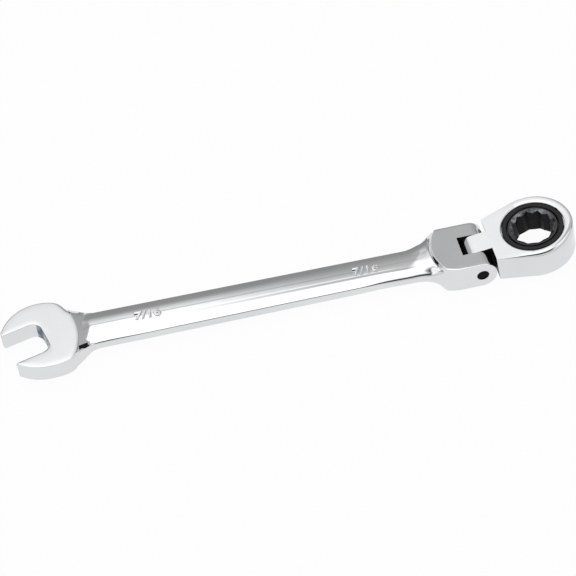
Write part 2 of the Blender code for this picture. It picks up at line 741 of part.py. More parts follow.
def build_pawl(parts, cutters, slide):
    """The toothed block that the spring holds in the gear. Its own origin is the gear's axis."""
    half_width = PAWL_WIDTH / 2
    back = PAWL_BACK - PIN_TO_SOCKET
    chamfer = PAWL_BACK_CHAMFER
    side_teeth = PAWL_TEETH // 2
    tip = GEAR_TIP_RADIUS + PAWL_MESH_GAP
    root = GEAR_ROOT_RADIUS + PAWL_MESH_GAP
    face = tooth_points(-side_teeth, side_teeth + 1, tip, root)[:-2]
    shoulder = -math.sqrt(tip**2 - half_width**2)
    outline = [(shoulder, half_width)] + face + [(shoulder, -half_width)]
    outline += [(back + chamfer, -half_width), (back, -half_width + chamfer)]
    outline += [(back, half_width - chamfer), (back + chamfer, half_width)]
    pawl = flat_solid("pawl", outline, -PAWL_HEIGHT / 2, PAWL_HEIGHT / 2)
    finish_piece(pawl, parts, slide, BLACK_OXIDE)
    hole_end = back + PAWL_SPRING_HOLE_DEPTH
    hole = rod("pawl_spring_cutter", SPRING_HOLE_RADIUS, back - REACH_PAST, hole_end, SMALL_ROUND)
    combine(pawl, lay_along_x(hole), "DIFFERENCE", cutters, slide)


def build_pawl_spring(parts, flex):
    start = POCKET_BACK - POCKET_SPRING_HOLE_DEPTH + SPRING_END_CLEARANCE
    end = PAWL_BACK + PAWL_SPRING_HOLE_DEPTH - SPRING_END_CLEARANCE
    spring = coil_spring("pawl_spring", end - start)
    spring.location = (start, 0.0, 0.0)
    finish_piece(spring, parts, flex, SPRING_STEEL)


def stand_on_origin(root, parts):
    """Moves the root so that the wrench lies on Z = 0 with the origin under its middle."""
    bpy.context.view_layer.update()
    depsgraph = bpy.context.evaluated_depsgraph_get()
    corners = []
    for piece in parts.objects:
        if piece.type != "EMPTY":
            seen = piece.evaluated_get(depsgraph)
            mesh = seen.to_mesh()
            corners += [piece.matrix_world @ vertex.co for vertex in mesh.vertices]
            seen.to_mesh_clear()
    left = min(corner.x for corner in corners)
    right = max(corner.x for corner in corners)
    lowest = min(corner.z for corner in corners)
    root.location = (-(left + right) / 2, 0.0, -lowest)
    bpy.context.view_layer.update()


def build():
    for existing in list(bpy.data.objects):
        bpy.data.objects.remove(existing)
    parts = new_collection("flex_ratchet_wrench")
    cutters = new_collection("cutters")
    root = new_empty("handle_frame", parts)
    flex = new_empty("flex_axis", parts, root)
    flex.rotation_euler = (0.0, -REST_FLEX, 0.0)
    socket = new_empty("socket_axis", parts, flex)
    socket.location = (PIN_TO_SOCKET, 0.0, 0.0)
    slide = new_empty("pawl_slide_axis", parts, flex)
    slide.location = (PIN_TO_SOCKET, 0.0, 0.0)
    build_handle(parts, cutters, root)
    build_pin(parts, root)
    build_plunger(parts, root)
    build_plunger_spring(parts, root)
    build_head(parts, cutters, flex)
    build_retaining_ring(parts, flex)
    build_gear(parts, cutters, socket)
    build_pawl(parts, cutters, slide)
    build_pawl_spring(parts, flex)
    stand_on_origin(root, parts)
    print(f"pin axis at {tuple(round(v, 6) for v in root.location)} m")


build()
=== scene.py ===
"""Looks for the flex-head ratcheting wrench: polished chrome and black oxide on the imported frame.

The CAD solids are faceted, and chrome shows every facet, so the pieces that show are drawn again
here from the same sizes, with fine meshes and rounded edges. Sizes are in millimetres. The handle
frame has its origin on the axis of the flex pin, and the head frame is the same frame flexed up.
"""

import json
import math

import bmesh
import bpy
from mathutils import Matrix, Vector

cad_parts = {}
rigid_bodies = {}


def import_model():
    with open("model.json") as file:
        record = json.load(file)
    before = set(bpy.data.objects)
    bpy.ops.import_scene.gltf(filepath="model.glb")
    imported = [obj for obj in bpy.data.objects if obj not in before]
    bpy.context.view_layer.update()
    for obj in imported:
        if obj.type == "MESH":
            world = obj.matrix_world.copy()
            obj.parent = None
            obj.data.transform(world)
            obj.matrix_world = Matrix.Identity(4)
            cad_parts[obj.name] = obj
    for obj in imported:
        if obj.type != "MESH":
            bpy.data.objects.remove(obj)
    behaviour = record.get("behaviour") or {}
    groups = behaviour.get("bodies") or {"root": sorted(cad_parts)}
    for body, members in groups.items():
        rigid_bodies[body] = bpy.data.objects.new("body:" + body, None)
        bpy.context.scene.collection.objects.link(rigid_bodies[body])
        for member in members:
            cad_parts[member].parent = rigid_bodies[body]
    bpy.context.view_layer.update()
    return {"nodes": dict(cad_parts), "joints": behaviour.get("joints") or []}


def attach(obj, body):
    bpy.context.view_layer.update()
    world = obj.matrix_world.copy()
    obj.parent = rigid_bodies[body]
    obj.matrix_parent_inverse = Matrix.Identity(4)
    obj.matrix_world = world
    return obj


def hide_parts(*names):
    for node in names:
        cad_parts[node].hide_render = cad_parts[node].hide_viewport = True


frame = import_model()

MM = 0.001
PHOTO_PIXELS = 576

# Camera of the photograph, from the flex pin
CAMERA_PLACE = (-110.254, -364.154, 410.280)
CAMERA_AZIMUTH = -8.344
CAMERA_ELEVATION = 47.977
CAMERA_ROLL = -5.281
CAMERA_FOCUS_PIXELS = 1873.2
CAMERA_NEAR = 10.0
SENSOR_WIDTH = 36.0

# Open end
OPEN_END = 130.2
JAW_GAP = 11.25
JAW_ANGLE = math.radians(15.0)
OPEN_END_RADIUS = 12.55
OPEN_END_INSET = 0.63
OPEN_END_SIDE_STEP = 0.63
OPEN_END_THICKNESS = 5.8
OPEN_END_EDGE = 0.12
OPEN_END_BACK_EDGE = 0.8
OPEN_END_BACK_TURN = 0.5
OPEN_END_LOW_EDGE = 0.10
OPEN_END_HEEL = 0.72
OPEN_END_HEEL_SPAN = math.radians(32.0)
OPEN_END_HEEL_ANGLE = math.radians(-57.0)
FACE_ROLL = 0.08
FACE_ROLL_WIDTH = 1.8
JAW_TIP_REACH = 9.95
JAW_TIP_ROUND = 0.6
THROAT_BEHIND_CENTRE = 1.3
THROAT_CORNER = 3.0
COVE_REACH = 10.9
COVE_RADIUS = 20.0
COVE_SIDE_STEP = 0.8
COVE_BLEND = 0.7
COVE_EDGE = 0.04
COVE_EDGE_START = 2.0
COVE_EDGE_END = 1.0
COVE_START = 15.2
COVE_SLANT = 0.42
COVE_SLOPE = 0.40
COVE_SOFT = 1.1
COVE_BACK = 8.5
COVE_RIM = 1.5
COVE_STEP = 0.08
COVE_BOTTOM = 12.4
COVE_BOW_LENGTH = 4.0
# The cove's front corner, which gets painted shade, as three corner points
CREVICE = ((9.9, -7.4), (13.7, -7.3), (12.7, -4.8))

# Neck and shank
NECK_REACH = 16.8
NECK_LENGTH = 14.7
NECK_FRONT_START = 13.9
NECK_FRONT_SLOPE = 0.78
NECK_FRONT_FILLET = 1.2
NECK_FRONT_WIDTH = 20.6
NECK_BACK_FLARE = 12.0
NECK_BACK_WIDTH = 22.6
NECK_FRONT_BAND = 5.2
NECK_BACK_BAND = 1.8
NECK_SIDE_LENGTH = 7.5
SHANK_WIDTH_AT_NECK = 12.1
SHANK_WIDTH_AT_FORK = 11.0
SHANK_SIDE_STEP = 0.28
SHANK_SIDE_BAND = 2.6
SHANK_THICKNESS_AT_NECK = 6.0
SHANK_THICKNESS_AT_FORK = 5.7
PANEL_WIDTH = 5.0
PANEL_CROWN = 0.38
PANEL_LINE = 0.45
BAND_EDGE = 0.35
BAND_EDGE_AT_NECK = 0.7
BAND_EDGE_AT_FORK = 1.1
BACK_BAND_EDGE = 0.3
BAND_EDGE_ROOM = 1.1
BACK_CREASE_SOFT = 2.0
FRONT_CREASE_SOFT = 0.15

# Fork
FORK_WIDTH = 17.6
FORK_THICKNESS = 9.34
FORK_EDGE = 0.45
FORK_EDGE_DROP = 0.2
FORK_EDGE_ROUND = 0.06
EAR_REACH = 4.3
EAR_CLEAR = 1.0
FORK_ROOT = 13.2
FORK_ROOT_BOW = 3.15
FORK_ROOT_RISE = (
    (-0.60, 0.0), (-0.48, 0.02), (-0.39, 0.07), (-0.31, 0.17), (-0.24, 0.33), (-0.17, 0.51),
    (-0.11, 0.68), (-0.06, 0.82), (-0.02, 0.91), (0.02, 0.95), (0.07, 0.98), (0.14, 0.996), (0.25, 1.0),
)
FORK_BOW_LENGTH = 12.0
FORK_FRONT_FLARE_LENGTH = 12.8
FORK_FRONT_FLARE_BEFORE_ROOT = 6.0
FORK_FLARE_LENGTH = 11.0
FORK_FLARE_BEFORE_ROOT = 7.6
FORK_FRONT_SWELL = 0.4
FORK_RAMP_LENGTH = 6.0
FORK_RAMP_RISE = 0.9
FORK_RAMP_SLANT = 1.2
FORK_SIDE_LENGTH = 6.6
FORK_SIDE_BEFORE_ROOT = 2.1
SLOT_WIDTH = 7.22
SLOT_FLOOR = 4.75
PIN_RADIUS = 1.78
PIN_HOLE_RADIUS = 1.84
PIN_RECESS = 0.05
PIN_CHAMFER = 0.2
PIN_CENTRE = 0.02

# Places along the handle from the flex pin, and the way that the jaw opens
NECK_END = NECK_REACH - OPEN_END
COVE_PLACE = COVE_BOTTOM - OPEN_END
FORK_BOW_START = -FORK_ROOT - FORK_BOW_LENGTH
JAW_DIRECTION = Vector((-math.cos(JAW_ANGLE), -math.sin(JAW_ANGLE)))

# Ratchet head
PIN_TO_SOCKET = 18.37
HEAD_THICKNESS = 9.16
HEAD_RING_RADIUS = 11.9
HEAD_EDGE = 1.5
HEAD_EDGE_DEPTH = 3.6
HEAD_BACK_EDGE = 0.35
HEAD_CROWN = 0.06
HEAD_FRONT_TURN = (-0.1, -0.8)
FLANK_EDGE = 0.1
SHOULDER = 4.87
SHOULDER_WIDTH = 16.8
TANG_WIDTH = 7.04
TANG_RADIUS = 4.57
TANG_OVERLAP = 0.5
RING_SEAT_RADIUS = 9.4
RING_SEAT_HEIGHT = 3.3
SEAT_CHAMFER = 0.2
SEAT_ROUND = 0.35
SEAT_ROUND_MIDDLE = (0.3, 0.2)
SEAT_ROUND_DEPTH = 0.6
GEAR_BORE_RADIUS = 8.75
LIP_RADIUS = 7.75
POCKET_HALF_WIDTH = 3.35
POCKET_HALF_HEIGHT = 3.1
POCKET_BACK = 5.55
SPRING_HOLE_RADIUS = 1.33
SPRING_HOLE_DEPTH = 1.3

# Drive gear and retaining ring
SOCKET_FLATS = 11.2
SOCKET_POINTS = 12
SOCKET_MOUTH_RADIUS = 6.95
SOCKET_BORE_RADIUS = 5.4
SOCKET_CHAMFER_DEPTH = 1.1
GEAR_HALF_HEIGHT = 4.48
GEAR_BAND_HEIGHT = 6.3
GEAR_HUB_RADIUS = 7.4
GEAR_TIP_RADIUS = 8.55
GEAR_ROOT_RADIUS = 8.1
GEAR_TEETH = 72
GEAR_STEPS = 8
TOOTH_ROOT_SHARE = 0.2
TOOTH_TIP_SHARE = 0.76
HUB_EDGE = 0.12
RING_OUTER_RADIUS = 9.2
RING_TOP = 4.5
RING_BOTTOM = 3.4

# Raised size marks on the shank
MARK_HEIGHT = 3.05
MARK_LENGTH = 8.0
MARK_RISE = 0.32
MARK_BEAD = 0.03
MARK_BOLD = 0.02
MARK_CENTRES = (-98.6, -33.3)

# Faces that get another material, by their place and by parts of their normal. Painted shade goes on the
# slot, the back ear's end, the head's shoulder and tang, the socket and the cove's corner.
SLOT_NEAR = 0.02
SLOT_WALL = 0.9
EAR_END_FACES = 0.75
CREVICE_UP = 0.4
THROAT_ROUGH = 0.45
THROAT_WALL = 0.6
SHOULDER_NEAR = 0.05
SHOULDER_FACES = 0.5
TANG_SIDE = 0.9
SOCKET_WALL = 0.3
LEAD_IN_TOP = 0.95

# Gloss of the black pieces
RING_GLOSS = 0.28
GEAR_GLOSS = 0.6
# The pin's gloss is all but none: painted shade, keeping its end as dark as the shade of its hole.
PIN_GLOSS = 0.03

# Floor, in metres
FLOOR_REACH = 2.0
FLOOR_DEPTH = 0.002
FLOOR_GAP = 0.0002
FLOOR_COLOUR = (0.93, 0.94, 0.95, 1.0)
FLOOR_GLOW = 0.95

# Studio, and where its parts fade in by the X, Y or Z part of a direction
STUDIO_STRENGTH = 1.6
BOX_LEFT = (-0.44, -0.32)
BOX_RIGHT = (0.14, 0.02)
LOW_LEFT_SIDE = (-0.45, -0.65)
LOW_LEFT_HEIGHT = (0.45, 0.25)
LOW_LEFT_COLOUR = (0.015, 0.015, 0.015, 1.0)
DARK_LEFT = (-0.6, -0.4)
DARK_RIGHT = (0.5, 0.3)
AHEAD = (0.13, 0.0)

# Mesh fineness
FINE_ROUND = 144
EDGE_STEPS = 6
CORNER_STEPS = 5
CORNER_LIMIT = 0.9
CROWN_STEPS = 12
BEVEL_SHARES = (0.25, 0.45, 0.6, 0.72, 0.82, 0.91)
BLUR_STEPS = 4
FACE_SHARES = (0.03, 0.08, 0.15, 0.25, 0.38, 0.5, 0.62, 0.75, 0.85, 0.92, 0.97)
JAW_FACE_STEPS = 12
THROAT_FLOOR_STEPS = 40
NECK_STEPS = 48
SHANK_STEPS = 32
FLARE_STEPS = 48
FORK_STEPS = 24
EAR_ROOT_STEPS = 2
EAR_STEPS = 24
EAR_LAST_STEP = 0.1
FLANK_STEPS = 16
MARK_BEAD_STEPS = 3
MARK_CURVE_STEPS = 6
MARK_WELD = 1e-5
SHARP_ANGLE = math.radians(32.0)
PAST = 2.0


def joint_named(name):
    return next(joint for joint in frame["joints"] if joint["name"] == name)


pin_place = Vector(joint_named("head_flex")["pos_m"])
gear_axis = Vector(joint_named("gear_spin")["axis"])
REST_FLEX = math.atan2(-gear_axis.x, gear_axis.z)
HANDLE_FRAME = Matrix.Translation(pin_place) @ Matrix.Scale(MM, 4)
HEAD_FRAME = HANDLE_FRAME @ Matrix.Rotation(-REST_FLEX, 4, "Y")
SOCKET_FRAME = HEAD_FRAME @ Matrix.Translation((PIN_TO_SOCKET, 0.0, 0.0))
ALONG_Y = Matrix.Rotation(math.pi / 2, 4, "X")
ALONG_X = Matrix.Rotation(math.pi / 2, 4, "Y")


# Shapes


def share_of(value, start, end):
    return min(max((value - start) / (end - start), 0.0), 1.0)


def ease(value, start, end):
    share = share_of(value, start, end)
    return share * share * (3.0 - 2.0 * share)


def mix(first, second, share):
    return first + (second - first) * share


def spread(start, end, count):
    return [mix(start, end, step / count) for step in range(count)]


def arc(centre, radius, start, end, full_circle=FINE_ROUND):
    count = max(3, round(abs(end - start) / math.tau * full_circle))
    angles = [mix(start, end, step / count) for step in range(count + 1)]
    return [(centre[0] + radius * math.cos(a), centre[1] + radius * math.sin(a)) for a in angles]


def circle(radius):
    return arc((0.0, 0.0), radius, 0.0, math.tau)[:-1]


def softened(path, reaches):
    """A path whose corners with a reach are rounded. The number of points doesn't depend on the shape."""
    points = []
    for i, (corner, reach) in enumerate(zip(path, reaches)):
        corner = Vector(corner)
        if reach is None:
            points.append(tuple(corner))
            continue
        before = Vector(path[i - 1]) - corner
        after = Vector(path[i + 1]) - corner
        start = corner + before * min(reach / before.length, CORNER_LIMIT)
        end = corner + after * min(reach / after.length, CORNER_LIMIT)
        for step in range(CORNER_STEPS + 1):
            share = step / CORNER_STEPS
            points.append(tuple(start.lerp(corner, share).lerp(corner.lerp(end, share), share)))
    return points


def mesh_from(shape, name):
    bmesh.ops.recalc_face_normals(shape, faces=shape.faces)
    mesh = bpy.data.meshes.new(name)
    shape.to_mesh(mesh)
    shape.free()
    return bpy.data.objects.new(name, mesh)


def loft(name, rings, closed=False):
    """Faces between rings of points. A closed loft joins its last ring to its first."""
    shape = bmesh.new()
    rows = [[shape.verts.new(point) for point in ring] for ring in rings]
    pairs = list(zip(rows, rows[1:]))
    if closed:
        pairs.append((rows[-1], rows[0]))
    else:
        shape.faces.new(rows[0])
        shape.faces.new(rows[-1])
    for near, far in pairs:
        for i in range(len(near)):
            j = (i + 1) % len(near)
            shape.faces.new((near[i], near[j], far[j], far[i]))
    return mesh_from(shape, name)


def turned(name, profile, steps=FINE_ROUND):
    """A closed profile of (radius, height) points, none on the axis, turned about Z."""
    rings = []
    for step in range(steps):
        angle = math.tau * step / steps
        rings.append([(r * math.cos(angle), r * math.sin(angle), z) for r, z in profile])
    return loft(name, rings, closed=True)


def prism(name, outline, low, high):
    return loft(name, [[(x, y, low) for x, y in outline], [(x, y, high) for x, y in outline]])


def block(name, low, high):
    corners = [(low[0], low[1]), (high[0], low[1]), (high[0], high[1]), (low[0], high[1])]
    return prism(name, corners, low[2], high[2])


def edge_walls(outline, half, edge_at, low_edge=None):
    """For each point of an anticlockwise outline, the wall there from bottom to top.

    Its edges are rounded by (inward, down) lengths.
    """
    count = len(outline)
    corners = [Vector(point) for point in outline]
    levels = [math.pi / 2 * step / EDGE_STEPS for step in range(EDGE_STEPS + 1)]
    walls = []
    for i, corner in enumerate(corners):
        along = corners[(i + 1) % count] - corners[i - 1]
        outward = Vector((along.y, -along.x)).normalized()
        high_edge = edge_at(corner, outward)
        wall = []
        for (inward, down), up in ((low_edge or high_edge, -1.0), (high_edge, 1.0)):
            edge = []
            for angle in levels:
                place = corner - outward * inward * (1.0 - math.cos(angle))
                edge.append((place.x, place.y, up * (half - down * (1.0 - math.sin(angle)))))
            wall += edge if up > 0.0 else list(reversed(edge))
        walls.append(wall)
    return walls


def plate(name, outline, thickness, edge_at, roll=0.0, low_edge=None):
    """A plate with rounded edges, whose outline's second half runs back beside the first.

    Its faces roll off a little towards their edges, as polished faces do.
    """
    walls = edge_walls(outline, thickness / 2 - roll, edge_at, low_edge)
    shape = bmesh.new()
    columns = [[shape.verts.new(point) for point in wall] for wall in walls]
    for near, far in zip(columns, columns[1:] + columns[:1]):
        for k in range(len(near) - 1):
            shape.faces.new((near[k], far[k], far[k + 1], near[k + 1]))
    for level, up in ((0, -1.0), (-1, 1.0)):
        rows = []
        for i in range(len(columns) // 2):
            start = columns[i][level]
            end = columns[-1 - i][level]
            row = [start]
            for share in FACE_SHARES:
                place = start.co.lerp(end.co, share)
                inside = min(share, 1.0 - share) * (end.co - start.co).length
                place.z += up * roll * (1.0 - (1.0 - share_of(inside, 0.0, FACE_ROLL_WIDTH)) ** 2)
                row.append(shape.verts.new(place))
            rows.append(row + [end])
        for near, far in zip(rows, rows[1:]):
            for k in range(len(near) - 1):
                shape.faces.new((near[k], far[k], far[k + 1], near[k + 1]))
    return mesh_from(shape, name)


def joined(piece, tools):
    """Applies Booleans to a piece. Each tool comes with its operation and is used up."""
    objects = bpy.context.scene.collection.objects
    objects.link(piece)
    for tool, operation in tools:
        objects.link(tool)
        modifier = piece.modifiers.new(tool.name, "BOOLEAN")
        modifier.operation = operation
        modifier.solver = "EXACT"
        modifier.object = tool
    seen = piece.evaluated_get(bpy.context.evaluated_depsgraph_get())
    mesh = bpy.data.meshes.new_from_object(seen)
    name = piece.name
    for used in [piece] + [tool for tool, _ in tools]:
        bpy.data.objects.remove(used)
    return bpy.data.objects.new(name, mesh)


def placed(piece, place, body, material, others=()):
    """Puts a finished piece in the frame, smooth apart from its sharp edges.

    Others are (material, test) pairs: faces whose centre and normal pass the test get that material.
    """
    piece.data.materials.clear()
    piece.data.materials.append(material)
    for index, (other, test) in enumerate(others, start=1):
        piece.data.materials.append(other)
        for face in piece.data.polygons:
            if test(face.center, face.normal):
                face.material_index = index
    piece.data.transform(place)
    piece.data.shade_smooth()
    piece.data.set_sharp_from_angle(angle=SHARP_ANGLE)
    bpy.context.scene.collection.objects.link(piece)
    weighted = piece.modifiers.new("even_shading", "WEIGHTED_NORMAL")
    weighted.keep_sharp = True
    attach(piece, body)


# Handle


def jaw_points(local):
    """Points given along and across the mouth, in the handle frame."""
    across = Vector((-JAW_DIRECTION.y, JAW_DIRECTION.x))
    centre = Vector((-OPEN_END, 0.0))
    return [tuple(centre + JAW_DIRECTION * ahead + across * side) for ahead, side in local]


def jaw_side(half_gap, floor):
    """One side of the space between the jaws: throat corner, straight face and round lip."""
    lip = (JAW_TIP_REACH - JAW_TIP_ROUND, half_gap + JAW_TIP_ROUND)
    corner = (floor + THROAT_CORNER, half_gap - THROAT_CORNER)
    quarter = math.pi / 2
    side = arc(corner, THROAT_CORNER, 2 * quarter, quarter)
    side += [(ahead, half_gap) for ahead in spread(corner[0], lip[0], JAW_FACE_STEPS)[1:]]
    return side + arc(lip, JAW_TIP_ROUND, -quarter, 0.0)


def open_end_outline():
    """The round open end, cut off by the cove, with the jaw in it. Anticlockwise in the handle frame."""
    side = jaw_side(JAW_GAP / 2, -THROAT_BEHIND_CENTRE)
    floor, floor_half = side[0]
    mouth = [(ahead, -across) for ahead, across in reversed(side)]
    mouth += [(floor, across) for across in spread(-floor_half, floor_half, THROAT_FLOOR_STEPS)[1:]] + side
    step = Vector((OPEN_END_INSET, OPEN_END_SIDE_STEP))
    from_cove = step - Vector((COVE_REACH - COVE_RADIUS, -COVE_SIDE_STEP))
    tip_angle = math.acos((JAW_TIP_REACH - step.dot(JAW_DIRECTION)) / OPEN_END_RADIUS)
    lip_angle = math.atan2(JAW_GAP / 2, JAW_TIP_REACH)
    outer = []
    for ahead, across in reversed(mouth):
        turned_by = math.atan2(across, ahead) % math.tau
        angle = mix(tip_angle, math.tau - tip_angle, share_of(turned_by, lip_angle, math.tau - lip_angle))
        away = Vector(jaw_points([(math.cos(angle), math.sin(angle))])[0]) - Vector((-OPEN_END, 0.0))
        along = from_cove.dot(away)
        to_cove = math.sqrt(along**2 - from_cove.length_squared + COVE_RADIUS**2) - along
        off_heel = math.atan2(away.y, away.x) - OPEN_END_HEEL_ANGLE
        radius = OPEN_END_RADIUS + OPEN_END_HEEL * ease(abs(off_heel), OPEN_END_HEEL_SPAN, 0.0)
        corner = share_of(abs(to_cove - radius), COVE_BLEND, 0.0)
        place = step + away * (min(radius, to_cove) - corner**2 * COVE_BLEND / 4)
        outer.append((place.x - OPEN_END, place.y))
    return outer + jaw_points(mouth)


def open_end_edge(corner, outward):
    """The edge round of the open end: wide at the back, small along the cove, where the face runs out."""
    near_cove = ease(corner.x + OPEN_END, COVE_REACH - COVE_EDGE_START, COVE_REACH - COVE_EDGE_END)
    at_back = ease(outward.y, 0.0, OPEN_END_BACK_TURN)
    radius = mix(mix(OPEN_END_EDGE, OPEN_END_BACK_EDGE, at_back), COVE_EDGE, near_cove)
    return radius, radius


def handle_section(x):
    """The forged section at x, without the fork's block, the ramp to it and the cove.

    Front and back come as (half-width, side band, crease, crease height, bevel slope), then the crown.
    """
    front_flare_start = -FORK_ROOT - FORK_FRONT_FLARE_BEFORE_ROOT
    back_flare_start = -FORK_ROOT - FORK_FLARE_BEFORE_ROOT
    side_start = -FORK_ROOT - FORK_SIDE_BEFORE_ROOT
    taper = share_of(x, NECK_END, -FORK_ROOT)
    front_flare = ease(x, front_flare_start, front_flare_start + FORK_FRONT_FLARE_LENGTH)
    back_flare = ease(x, back_flare_start, back_flare_start + FORK_FLARE_LENGTH)
    side = ease(x, side_start, side_start + FORK_SIDE_LENGTH)
    neck_back = ease(x, NECK_END, NECK_END - NECK_BACK_FLARE)
    neck_side = ease(x, NECK_END, NECK_END - NECK_SIDE_LENGTH)

    width = mix(SHANK_WIDTH_AT_NECK, SHANK_WIDTH_AT_FORK, taper) / 2
    bevel = width - PANEL_WIDTH / 2
    crown = mix(SHANK_THICKNESS_AT_NECK, SHANK_THICKNESS_AT_FORK, taper) / 2
    crease_height = crown - PANEL_CROWN
    band = mix(SHANK_SIDE_BAND / 2, FORK_THICKNESS / 2 - FORK_EDGE_DROP, side)
    lift = min(crease_height + band - SHANK_SIDE_BAND / 2, FORK_THICKNESS / 2 - FORK_EDGE_DROP / 2)
    swell = FORK_FRONT_SWELL * ease(x, front_flare_start - FORK_FRONT_FLARE_LENGTH, front_flare_start)
    front = mix(width - SHANK_SIDE_STEP + swell, FORK_WIDTH / 2, front_flare)
    back = mix(width + SHANK_SIDE_STEP, FORK_WIDTH / 2, back_flare)
    front_crease = front - bevel
    back_crease = back - bevel

    past = NECK_FRONT_START - OPEN_END - x
    front += NECK_FRONT_SLOPE * (past + math.hypot(past, NECK_FRONT_FILLET)) / 2
    front = min(front, NECK_FRONT_WIDTH / 2)
    back = mix(back, NECK_BACK_WIDTH / 2, neck_back)
    front_band = mix(band, NECK_FRONT_BAND / 2, neck_side)
    back_band = mix(band, NECK_BACK_BAND / 2, neck_side)
    front_side = (front, front_band, front_crease, crease_height, (crease_height - band) / bevel)
    back_side = (back, back_band, back_crease, lift, (lift - band) / bevel)
    return front_side, back_side, crown + (lift - crease_height) / 2


def top_height(section, y):
    """The height of the section's upper side at y: crowned panel between two bevels.

    The panel ends in front in a narrow flat strip, which shows as a faint line.
    """
    front_side, back_side, crown = section
    crease, crease_height, slope = (back_side if y > 0.0 else front_side)[2:]
    panel = crease if y > 0.0 else crease - PANEL_LINE
    if abs(y) > crease:
        return crease_height - slope * (abs(y) - crease)
    return mix(crown, crease_height, min(abs(y) / panel, 1.0) ** 2)


def soft_height(section, y):
    """The same height with the creases blurred, as polishing leaves them."""
    soft = BACK_CREASE_SOFT if y > 0.0 else FRONT_CREASE_SOFT
    total = 0.0
    weights = 0.0
    for step in range(-BLUR_STEPS, BLUR_STEPS + 1):
        weight = BLUR_STEPS + 1 - abs(step)
        total += weight * top_height(section, y + soft * step / BLUR_STEPS)
        weights += weight
    return total / weights


def ramp_rise(section, x, y):
    """The slow rise of the shank towards the fork's root, beyond what the back's lift gives there."""
    front_side, back_side = section[:2]
    length = FORK_RAMP_LENGTH - FORK_RAMP_SLANT * min(max(y, -PANEL_WIDTH / 2), PANEL_WIDTH / 2)
    rise = FORK_RAMP_RISE * share_of(x, -FORK_ROOT - length, -FORK_ROOT) ** 2
    across = share_of(y, 0.0, back_side[2]) ** 2 - share_of(-y, 0.0, front_side[2]) ** 2
    lifted = (back_side[3] - front_side[3]) * (1.0 + across) / 2
    return max(rise - lifted, 0.0) * ease(front_side[0] + y, 0.0, PANEL_WIDTH / 2)


def cove_edges(y):
    """Where the cove starts at y on the shank, and where it meets the open end's face."""
    start = COVE_START + COVE_SLANT * min(y, 0.0) - OPEN_END
    reach = max(COVE_RADIUS**2 - (y + COVE_SIDE_STEP) ** 2, 0.0)
    return start, COVE_REACH - COVE_RADIUS + math.sqrt(reach) - OPEN_END


def cove_face(y):
    """The height at which the cove meets the open end's face, and its slope on the shank's side at y."""
    slope = COVE_SLOPE * share_of(y, COVE_BACK, 0.0)
    return OPEN_END_THICKNESS / 2 - FACE_ROLL - COVE_STEP, slope


def coved(section, x, y, height):
    """The height left by the cove: the shank falls, then rises to the open end, with a rim each side."""
    start, end = cove_edges(y)
    face, slope = cove_face(y)
    past = max(start - x, 0.0)
    past = past * past / (2.0 * COVE_SOFT) if past < COVE_SOFT else past - COVE_SOFT / 2.0
    height = max(height - slope * past, face - COVE_SLOPE * max(x - end, 0.0))
    rim = COVE_RIM * share_of(x, NECK_END, NECK_END - NECK_SIDE_LENGTH)
    if rim > 0.0:
        half, band = (section[1] if y > 0.0 else section[0])[:2]
        height = mix(band, height, ease(half - abs(y), 0.0, rim))
    return height


def cove_bottom(y):
    """The place along the handle where the two sides of the cove meet at y."""
    start, end = cove_edges(y)
    face, slope = cove_face(y)
    height = soft_height(handle_section(end + COVE_SOFT), y)
    return (face - height + slope * (start - COVE_SOFT / 2.0) + COVE_SLOPE * end) / (slope + COVE_SLOPE)


def bowed(station, y):
    """The place along the handle of a station at y, which follows the fork's root or the cove's bottom."""
    at_root = ease(station, FORK_BOW_START, -FORK_ROOT) * ease(station, -SLOT_FLOOR, -FORK_ROOT)
    place = station + FORK_ROOT_BOW * at_root * (2.0 * y / FORK_WIDTH) ** 2
    at_cove = ease(station, COVE_PLACE - COVE_BOW_LENGTH, COVE_PLACE)
    at_cove *= ease(station, COVE_PLACE + COVE_BOW_LENGTH, COVE_PLACE)
    if at_cove > 0.0:
        place += at_cove * (cove_bottom(min(max(y, -PANEL_WIDTH), PANEL_WIDTH)) - COVE_PLACE)
    return place


def side_reach(station, side):
    """The half-width of the front (side 0) or back (side 1) where a bowed station meets it."""
    reach = FORK_WIDTH / 2
    for _ in range(CORNER_STEPS):
        reach = handle_section(bowed(station, reach if side else -reach))[side][0]
    return reach


def band_edge(x):
    """The round along the top of the front band, wider towards both ends."""
    edge = mix(BAND_EDGE, BAND_EDGE_AT_NECK, ease(x, NECK_END + NECK_LENGTH, NECK_END))
    near_fork = ease(x, -FORK_ROOT - 2 * FORK_BOW_LENGTH, FORK_BOW_START)
    return mix(edge, BAND_EDGE_AT_FORK, near_fork)


